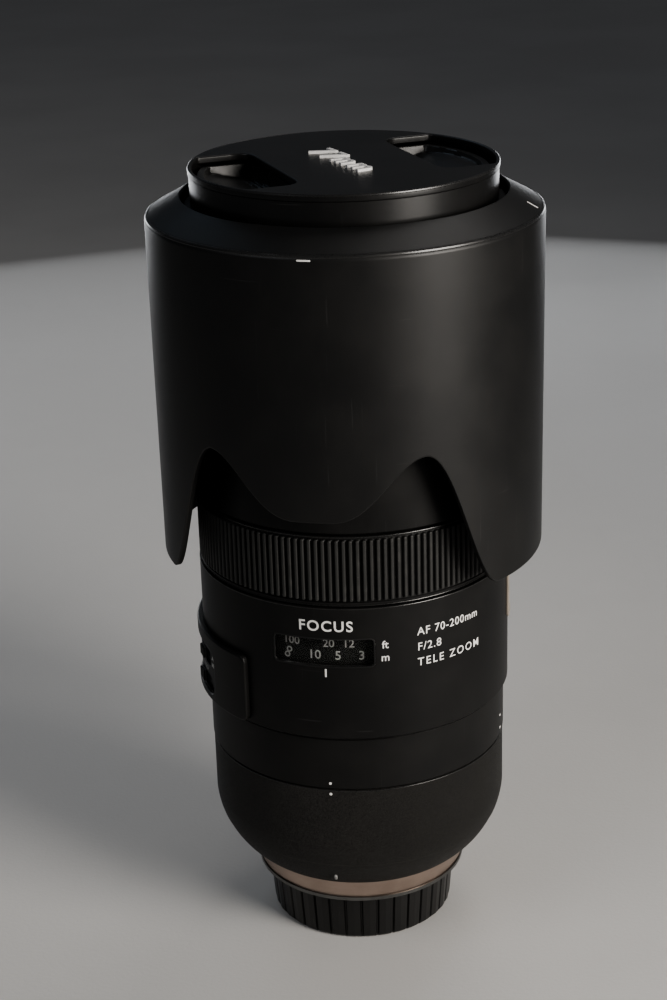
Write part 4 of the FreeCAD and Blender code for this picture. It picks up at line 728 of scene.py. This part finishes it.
def make_pinch_tab(side, azimuth):
    """A finger plate: a ledge round a scoop that falls towards the ribbed wall where a fingertip pushes."""
    node = f"pinch_tab_{side}"
    columns, rows = 96, 60

    def height(x, y):
        to_rim = TAB_RADIUS - math.hypot(x, y)
        to_side = TAB_HALF_WIDTH - abs(y)
        to_wall = x - TAB_WALL
        inside = min(to_rim, to_side) - TAB_RIM
        slope = TAB_FLOOR + TAB_SCOOP_RISE * smooth_step(to_wall / (TAB_RADIUS - TAB_WALL - TAB_RIM)) ** 1.3
        if to_wall < 0:
            return TAB_LEDGE
        ribs = 0.0
        if to_wall < 4.0 and inside > 1.0:
            ribs = 0.3 * max(0.0, math.cos(2 * math.pi * (to_wall - 0.2) / 1.25)) ** 2
        scoop = slope + ribs
        return TAB_LEDGE + (scoop - TAB_LEDGE) * smooth_step(min(inside, to_wall * 3) / 0.7 + 0.5)

    work = bmesh.new()
    top, bottom = [], []
    for column in range(columns + 1):
        y = TAB_HALF_WIDTH * (2 * column / columns - 1)
        far = math.sqrt(TAB_RADIUS ** 2 - y ** 2)
        line_top, line_bottom = [], []
        for row in range(rows + 1):
            x = TAB_START + (far - TAB_START) * row / rows
            line_top.append(work.verts.new(Vector((x, y, height(x, y))) * MM))
            line_bottom.append(work.verts.new(Vector((x, y, TAB_LOW)) * MM))
        top.append(line_top)
        bottom.append(line_bottom)
    for column in range(columns):
        for row in range(rows):
            for sheet in (top, bottom):
                work.faces.new((sheet[column][row], sheet[column + 1][row],
                                sheet[column + 1][row + 1], sheet[column][row + 1]))
        for row in (0, rows):
            work.faces.new((top[column][row], top[column + 1][row], bottom[column + 1][row],
                            bottom[column][row]))
    for column in (0, columns):
        for row in range(rows):
            work.faces.new((top[column][row], top[column][row + 1], bottom[column][row + 1],
                            bottom[column][row]))
    mesh = bpy.data.meshes.new(node)
    work.to_mesh(mesh)
    work.free()
    piece(f"pinch_plate_{side}", moved(mesh, turn=azimuth - 90), BODY_OF[node], "cap_plastic",
          stands_for=[node], sharp=50)


SPRING_SIDE = 6.0
SPRING_HEIGHT = 211.6
SPRING_COIL_RADIUS = 1.27
SPRING_WIRE_RADIUS = 0.3
SPRING_TURNS = 11
SPRING_START = 0.4
SPRING_END = 15.85


def coil(side):
    """A coil spring along +x, at one side of the pinch tabs' line."""
    curve = bpy.data.curves.new("coil", "CURVE")
    curve.dimensions = "3D"
    curve.bevel_depth = SPRING_WIRE_RADIUS * MM
    curve.bevel_resolution = 2
    curve.use_fill_caps = True
    steps = SPRING_TURNS * 20
    spline = curve.splines.new("POLY")
    spline.points.add(steps)
    for step, point in enumerate(spline.points):
        turn = 2 * math.pi * step / 20
        x = SPRING_START + (SPRING_END - SPRING_START) * step / steps
        y = side + SPRING_COIL_RADIUS * math.cos(turn)
        point.co = (x * MM, y * MM, (SPRING_HEIGHT + SPRING_COIL_RADIUS * math.sin(turn)) * MM, 1)
    return mesh_of(bpy.data.objects.new("coil", curve))


def make_cap_springs(side, azimuth, stands_for):
    """The half of the two return springs that one pinch tab squeezes."""
    mesh = moved(joined(coil(SPRING_SIDE), coil(-SPRING_SIDE)), turn=azimuth - 90)
    made = piece(f"cap_spring_coils_{side}", mesh, None, "screw_steel", stands_for=stands_for)
    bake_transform(made)


# ---------------------------------------------------------------- window, badge and switches

PANEL_AZIMUTH = -76
PANEL_HALF_SWEEP = 44.2
PANEL_CORNER = 2.2
PANEL_SKIN = 0.8
RECESS_HALF_SWEEP = 25.0
BADGE_AZIMUTH = 97.5
SWITCHES = {
    "focus_mode_switch": (-62, 84.2, 4.3),
    "focus_limit_switch": (-90, 84.2, 4.3),
    "stabiliser_switch": (-90, 76.8, 4.3),
    "stabiliser_mode_switch": (-62, 76.8, 5.6),
}
SLOT_HALF_HEIGHT = 2.1
SWITCH_HALF_WIDTH = 2.25
SWITCH_HALF_HEIGHT = 1.7
SWITCH_INNER = 42.6
SWITCH_OUTER = 43.7
SWITCH_GAP = 0.3


def make_window():
    """The recessed pane, and the thin black lip inside its opening."""
    low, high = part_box("distance_window")
    barrel = reach("window_barrel")[0]
    left, right, foot, top = low.x / MM, high.x / MM, low.z / MM, high.z / MM
    middle = (foot + top) / 2
    outline = box_outline(left, right, foot - middle, top - middle, 1.5)
    outer = barrel - 0.29
    pane = wrapped(plate([outline], 1.3, 0.22), 0, outer - 1.3, middle)
    made = piece("window_pane", pane, "barrel", "window_glass", stands_for=["distance_window"])
    made.visible_shadow = False
    lip = 0.4
    inner = box_outline(left + lip, right - lip, foot - middle + lip, top - middle - lip, 1.2)
    rim = wrapped(plate([outline, inner], 0.3, 0.1), 0, outer - 0.02, middle)
    piece("window_frame", rim, "barrel", "black_plastic")


def make_distance_scale():
    """The figures on the drum behind the window: metres below, feet above."""
    radius = reach("distance_scale_drum")[0]
    metres = [("10", -4.9), ("5", 4.1), ("3", 13.0), ("2", 23.0), ("1.5", 33.0), ("1.2", 42.0),
              ("0.95", 52.0)]
    feet = [("∞", -26.0), ("100", -14.0), ("20", 0.6), ("12", 8.2), ("8", 19.0), ("5", 31.0), ("4", 41.0),
            ("3.1", 51.0)]
    rows = [wrapped(lettering(text, size, 0.04, 0.03), turn, radius, height)
            for row, size, height in ((metres, 3.5, 95.1), (feet, 3.1, 98.5)) for text, turn in row]
    rows.append(wrapped(moved(lettering("∞", 3.9, 0.04, 0.03), turn=68), -15.4, radius, 95.0))
    piece("distance_figures", joined(*rows), "focus_drive", None, DIM_INK)


def make_barrel_print():
    """White printed words, figures and index marks on the fixed barrel and the collar."""
    radius = reach("window_barrel")[0]

    def word(text, size, azimuth, height, align="CENTER", bold=0.03, spacing=1.0):
        return wrapped(lettering(text, size, 0.05, bold, align, spacing), azimuth, radius, height)

    def stripe(width, tall, azimuth, height, ring=radius):
        outline = box_outline(-width / 2, width / 2, -tall / 2, tall / 2, 0.12)
        return wrapped(plate([outline], 0.05, 0.01), azimuth, ring, height)

    marks = [word("FOCUS", 4.1, 0.3, 104.4, bold=0.07, spacing=1.17), word("ft", 3.0, 21.2, 98.9),
             word("m", 3.0, 21.2, 95.3), stripe(0.5, 2.3, 0.0, 91.3)]
    for row, (text, spacing) in enumerate((("AF 70-200mm", 1.12), ("F/2.8", 1.15), ("TELE ZOOM", 1.28))):
        marks.append(word(text, 3.15, 33.0, 101.2 - 4.35 * row, "LEFT", 0.02, spacing))
    piece("barrel_print", joined(*marks), "barrel", None, WHITE_INK)
    dot = ring_outline(0.4, 16)
    rear = reach("rear_barrel")[0]
    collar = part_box("tripod_collar")[1].x / MM
    piece("rear_barrel_dot", wrapped(plate([dot], 0.06, 0.01), 0, rear, 54.9), "barrel", None, WHITE_INK)
    ticks = [wrapped(plate([box_outline(-0.5, 0.5, -0.28, 0.28, 0.1)], 0.06, 0.01), 84.6, collar, height)
             for height in (58.6, 62.4)]
    piece("collar_marks", joined(wrapped(plate([dot], 0.06, 0.01), 0, collar, 58.2), *ticks), "collar", None,
          WHITE_INK)


def make_mount_index():
    """The raised white index that shows how the bayonet goes in."""
    pill = plate([box_outline(-0.4, 0.4, -1.0, 1.0, 0.38)], 0.9, 0.2)
    pill.transform(Matrix.Rotation(math.radians(36), 4, "X"))
    piece("mount_index", stood(pill, -0.4, 36.1, 27.0), "barrel", None, DIM_INK)


def make_badge():
    """A plain framed plate."""
    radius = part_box("side_badge")[1].x / MM
    low, high = (corner.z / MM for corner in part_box("side_badge"))
    barrel = reach("window_barrel")[0]
    middle = (low + high) / 2
    outline = box_outline(-6.5, 6.5, low - middle, high - middle, 1.0)
    inner = box_outline(-5.6, 5.6, low - middle + 0.9, high - middle - 0.9, 0.7)
    plinth = wrapped(plate([outline, inner], radius - barrel, 0.15), BADGE_AZIMUTH, barrel, middle)
    field = wrapped(plate([inner], radius - barrel - 0.2, 0.05), BADGE_AZIMUTH, barrel, middle)
    piece("side_badge_plate", joined(plinth, field), "barrel", "badge_metal", stands_for=["side_badge"])


def make_switch_panel():
    """A raised plate whose sunk middle holds the four switch slots."""
    low, high = (corner.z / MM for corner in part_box("switch_panel"))
    outer = -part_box("switch_panel")[0].x / MM
    barrel = reach("window_barrel")[0]
    thickness = outer - barrel

    def along(azimuth):
        return math.radians(azimuth) * barrel

    half, sunk = along(PANEL_HALF_SWEEP), along(RECESS_HALF_SWEEP)
    rim = box_outline(-half, half, low, high, PANEL_CORNER)
    recess = box_outline(-sunk, sunk, low + 1.7, high - 4.0, 4.0)
    slots = []
    for azimuth, height, slot in SWITCHES.values():
        centre = along(azimuth - PANEL_AZIMUTH)
        slots.append(box_outline(centre - slot, centre + slot, height - SLOT_HALF_HEIGHT,
                                 height + SLOT_HALF_HEIGHT, 0.6))
    floor = wrapped(plate([rim, *slots], thickness - PANEL_SKIN, 0.1), PANEL_AZIMUTH, barrel, 0)
    border = wrapped(plate([rim, recess], thickness, 0.55), PANEL_AZIMUTH, barrel, 0)
    piece("switch_panel_shell", joined(floor, border), "barrel", "black_barrel", stands_for=["switch_panel"])


def make_switch(node):
    """A small slider with four grip ridges."""
    azimuth, height, slot = SWITCHES[node]
    rest = slot - SWITCH_HALF_WIDTH - SWITCH_GAP
    base = plate([box_outline(-SWITCH_HALF_WIDTH, SWITCH_HALF_WIDTH, -SWITCH_HALF_HEIGHT, SWITCH_HALF_HEIGHT,
                              0.4)], SWITCH_OUTER - SWITCH_INNER - 0.5, 0.2)
    ridges = []
    for number in range(4):
        ridge = plate([box_outline(-0.24, 0.24, -SWITCH_HALF_HEIGHT + 0.2, SWITCH_HALF_HEIGHT - 0.2, 0.2)],
                      0.9, 0.15)
        ridges.append(moved(ridge, x=(number - 1.5) * 1.05, z=SWITCH_OUTER - SWITCH_INNER - 0.9))
    mesh = stood(moved(joined(base, *ridges), x=-rest), azimuth, SWITCH_INNER, height)
    piece(f"{node}_slider", mesh, BODY_OF[node], "switch_plastic", stands_for=[node])


def make_switch_labels():
    """Generic legends beside the four switches."""
    radius = -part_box("switch_panel")[0].x / MM - PANEL_SKIN
    legends = [("AF", 1.8, -53.4, 84.9), ("MF", 1.8, -53.4, 82.9), ("FULL", 1.5, -98.5, 84.9),
               ("LIMIT", 1.5, -98.5, 82.9), ("ON", 1.8, -98.5, 77.5), ("OFF", 1.8, -98.5, 75.6),
               ("1 2 3", 1.9, -62, 80.4)]
    meshes = [wrapped(lettering(text, size, 0.05, 0.02), azimuth, radius, height)
              for text, size, azimuth, height in legends]
    piece("switch_legends", joined(*meshes), "barrel", None, GREY_INK)


# ---------------------------------------------------------------- collar lock

LOCK_AZIMUTH = 146
LOCK_HEIGHT = 64.0


def make_lock_knob():
    """A knob with a knurled rim that tightens the collar."""
    radius, start, end, shaft, shaft_start = 6.0, 46.0, 57.0, 2.0, 42.0

    def section(azimuth):
        cut = 0.35 * smooth_step(abs(fold(azimuth, 15)) / 7.5)
        return soften([
            (0.02, shaft_start), (shaft, shaft_start), (shaft, start), (radius - 0.6, start),
            (radius - 0.1, start + 0.6), (radius - cut, start + 1.2), (radius - cut, end - 1.6),
            (radius - 0.3, end - 0.9, 0.2), (radius - 1.2, end, 0.5), (radius - 2.2, end, 0.2),
            (radius - 2.6, end - 0.35, 0.2), (0.02, end - 0.35)])

    mesh = lathe(section, 240)
    mesh.transform(Matrix.Translation((0, 0, LOCK_HEIGHT * MM))
                   @ Matrix.Rotation(math.radians(LOCK_AZIMUTH), 4, "Z")
                   @ Matrix.Rotation(math.radians(90), 4, "X"))
    piece("collar_lock_knurled", mesh, "collar_lock", "black_plastic", stands_for=["collar_lock_knob"])


FOOT_AZIMUTH = 180
FOOT_SCREW_SIDE = 8.0
FOOT_SCREW_HEIGHTS = (60.1, 68.1)
FOOT_SCREW_HEAD = 70.9
FOOT_HALF_WIDTH = 15.5
DOVETAIL_HALF_WIDTH = 19.0
DOVETAIL_START = 67.0
DOVETAIL_END = 70.5
FOOT_CORNER = 3.0
THREAD_HEIGHT = 92.0
THREAD_RADIUS = 3.175
THREAD_DEPTH = 7.5
BUSH_RADIUS = 4.2
BUSH_SINK = 0.6
SCREW_HEAD_RADIUS = 2.58
SCREW_SHANK_RADIUS = 1.48
GRIP_GROOVES = (-11.4, -8.6, 8.6, 11.4)
GRIP_GROOVE_LOW = 79.0
GRIP_GROOVE_HIGH = 121.0


def make_foot():
    """The dovetail foot, with rounded corners, its threaded hole, screw recesses and long grip grooves."""
    low, high = (corner.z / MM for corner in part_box("tripod_foot"))
    face, sole = (corner.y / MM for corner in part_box("tripod_foot"))
    outline = [(-FOOT_HALF_WIDTH, face), (FOOT_HALF_WIDTH, face), (FOOT_HALF_WIDTH, DOVETAIL_START),
               (DOVETAIL_HALF_WIDTH, DOVETAIL_END), (DOVETAIL_HALF_WIDTH, sole), (-DOVETAIL_HALF_WIDTH, sole),
               (-DOVETAIL_HALF_WIDTH, DOVETAIL_END), (-FOOT_HALF_WIDTH, DOVETAIL_START)]
    body = moved(plate([outline], high - low, 0.5), z=low)
    middle = (low + high) / 2
    half = (high - low) / 2 + 0.1
    corners = box_outline(-DOVETAIL_HALF_WIDTH - 0.1, DOVETAIL_HALF_WIDTH + 0.1, -half, half, FOOT_CORNER)
    rounding = plate([corners], sole - face + 2, 0.0)
    body = carved(body, stood(rounding, FOOT_AZIMUTH, face - 1, middle), "INTERSECT")
    holes = [(0.0, THREAD_HEIGHT, THREAD_RADIUS, sole - THREAD_DEPTH),
             (0.0, THREAD_HEIGHT, BUSH_RADIUS + 0.1, sole - BUSH_SINK)]
    for side in (-FOOT_SCREW_SIDE, FOOT_SCREW_SIDE):
        for height in FOOT_SCREW_HEIGHTS:
            holes += [(side, height, SCREW_HEAD_RADIUS + 0.07, FOOT_SCREW_HEAD),
                      (side, height, SCREW_SHANK_RADIUS + 0.07, face - 1)]
    for side, height, radius, depth in holes:
        tool = moved(plate([ring_outline(radius)], sole + 1 - depth, 0.0), x=side)
        body = carved(body, stood(tool, FOOT_AZIMUTH, depth, height))
    for side in GRIP_GROOVES:
        outline = box_outline(side - 0.5, side + 0.5, GRIP_GROOVE_LOW, GRIP_GROOVE_HIGH, 0.45)
        body = carved(body, stood(plate([outline], 1.4, 0.0), FOOT_AZIMUTH, sole - 0.4, 0))
    piece("foot_dovetail", body, "collar", "black_barrel", stands_for=["tripod_foot"], sharp=30)
    bush = plate([ring_outline(BUSH_RADIUS), ring_outline(THREAD_RADIUS)], 0.5, 0.1)
    stood(bush, FOOT_AZIMUTH, sole - BUSH_SINK, THREAD_HEIGHT)
    piece("foot_thread_bush", bush, "collar", "screw_steel")


def make_foot_screws():
    """Four socket-head screws that hold the foot on the collar's stem."""
    parts = []
    for side in (-FOOT_SCREW_SIDE, FOOT_SCREW_SIDE):
        for height in FOOT_SCREW_HEIGHTS:
            head = plate([ring_outline(SCREW_HEAD_RADIUS), ring_outline(1.3, 6, side)], 2.38, 0.25)
            floor = plate([ring_outline(2.0)], 0.9, 0.1)
            shank = moved(plate([ring_outline(SCREW_SHANK_RADIUS)], 15.8, 0.1), z=-15.75)
            screw = moved(joined(head, floor, shank), x=side)
            parts.append(stood(screw, FOOT_AZIMUTH, FOOT_SCREW_HEAD, height))
    piece("foot_socket_screws", joined(*parts), "collar", "screw_steel", stands_for=["foot_screws"])


# ---------------------------------------------------------------- studio

CAMERA_DISTANCE = 506.2
CAMERA_HEIGHT = 320.5
CAMERA_AZIMUTH = 11.0
CAMERA_YAW = -0.58
CAMERA_PITCH = 21.31
CAMERA_ROLL = -1.73
CAMERA_LENS = 72.0


def make_camera():
    """Looks at the lens from in front and above."""
    yaw = math.radians(CAMERA_YAW - CAMERA_AZIMUTH)
    pitch, roll = math.radians(CAMERA_PITCH), math.radians(CAMERA_ROLL)
    ahead = Vector((math.sin(yaw) * math.cos(pitch), math.cos(yaw) * math.cos(pitch), -math.sin(pitch)))
    right = Vector((math.cos(yaw), -math.sin(yaw), 0))
    up = right.cross(ahead)
    rolled_right = right * math.cos(roll) + up * math.sin(roll)
    rolled_up = up * math.cos(roll) - right * math.sin(roll)
    data = bpy.data.cameras.new("camera")
    data.lens = CAMERA_LENS
    data.sensor_width = 36.0
    camera = bpy.data.objects.new("camera", data)
    bpy.context.scene.collection.objects.link(camera)
    camera.rotation_mode = "QUATERNION"
    camera.location = on_ring(CAMERA_AZIMUTH, CAMERA_DISTANCE, CAMERA_HEIGHT)
    camera.rotation_quaternion = Matrix((rolled_right, rolled_up, -ahead)).transposed().to_quaternion()
    bpy.context.scene.camera = camera


# Name, azimuth, distance, height, size, power, colour, height aimed at and spread.
LIGHTS = [
    ("key_softbox", 62, 640, 310, (320, 420), 1.4, (1.0, 0.95, 0.89), 150, 80),
    ("top_softbox", 165, 560, 980, (350, 350), 0.15, (1.0, 0.97, 0.94), 200, 60),
    ("blue_softbox", -147, 900, 900, (400, 400), 0.025, (0.62, 0.80, 1.0), 200, 50),
    ("back_left_softbox", -150, 800, 106, (600, 190), 0.38, (0.95, 0.97, 1.0), 106, 90),
    ("back_right_softbox", 172, 800, 106, (400, 190), 0.28, (0.95, 0.97, 1.0), 106, 90),
    ("room_softbox", -40, 1500, 1500, (900, 900), 2.0, (0.95, 0.97, 1.0), 0, 120),
]
WORLD_STRENGTH = 0.06


def make_light(name, azimuth, distance, height, size, power, colour, aim, spread):
    """A softbox behind a grid, turned to a point on the optical axis."""
    data = bpy.data.lights.new(name, "AREA")
    data.shape = "RECTANGLE"
    data.size, data.size_y = (side * MM for side in size)
    data.energy = power
    data.color = colour
    data.spread = math.radians(spread)
    light = bpy.data.objects.new(name, data)
    light.visible_camera = False
    light.location = on_ring(azimuth, distance, height)
    target = Vector((0, 0, aim * MM))
    light.rotation_mode = "QUATERNION"
    light.rotation_quaternion = (target - light.location).to_track_quat("-Z", "Y")
    bpy.context.scene.collection.objects.link(light)


def make_studio():
    """A plain pale floor, a dim even room and soft lights."""
    work = bmesh.new()
    bmesh.ops.create_grid(work, x_segments=2, y_segments=2, size=6.0)
    mesh = bpy.data.meshes.new("floor")
    work.to_mesh(mesh)
    work.free()
    mesh.materials.append(pale_floor("floor_pale"))
    floor = bpy.data.objects.new("floor", mesh)
    bpy.context.scene.collection.objects.link(floor)
    world = bpy.data.worlds.new("studio")
    world.use_nodes = True
    background = world.node_tree.nodes["Background"]
    background.inputs["Color"].default_value = (0.9, 0.93, 1.0, 1)
    background.inputs["Strength"].default_value = WORLD_STRENGTH
    bpy.context.scene.world = world
    bpy.context.scene.view_settings.look = "AgX - Medium High Contrast"
    for light in LIGHTS:
        make_light(*light)


# ---------------------------------------------------------------- build

make_hood()
make_hood_marks()
ribbed_ring("focus_grip_ribbed", "focus_grip", 0.35)
ribbed_ring("zoom_grip_ribbed", "zoom_grip", 0.5)
make_edge_beads()
make_rear_cap()
make_front_cap()
make_pinch_tab("left", PINCH_AZIMUTH + 180)
make_pinch_tab("right", PINCH_AZIMUTH)
make_cap_springs("left", PINCH_AZIMUTH + 180, ["cap_springs"])
make_cap_springs("right", PINCH_AZIMUTH, [])
make_window()
make_distance_scale()
make_barrel_print()
make_mount_index()
make_badge()
make_switch_panel()
for switch in SWITCHES:
    make_switch(switch)
make_switch_labels()
make_lock_knob()
make_foot()
make_foot_screws()

for node, part in NODES.items():
    part.data.materials.clear()
    part.data.materials.append(FINISHES[SLOT_OF[node]])
    part.data.shade_smooth()
    part.data.set_sharp_from_angle(angle=math.radians(25))

make_studio()
make_camera()
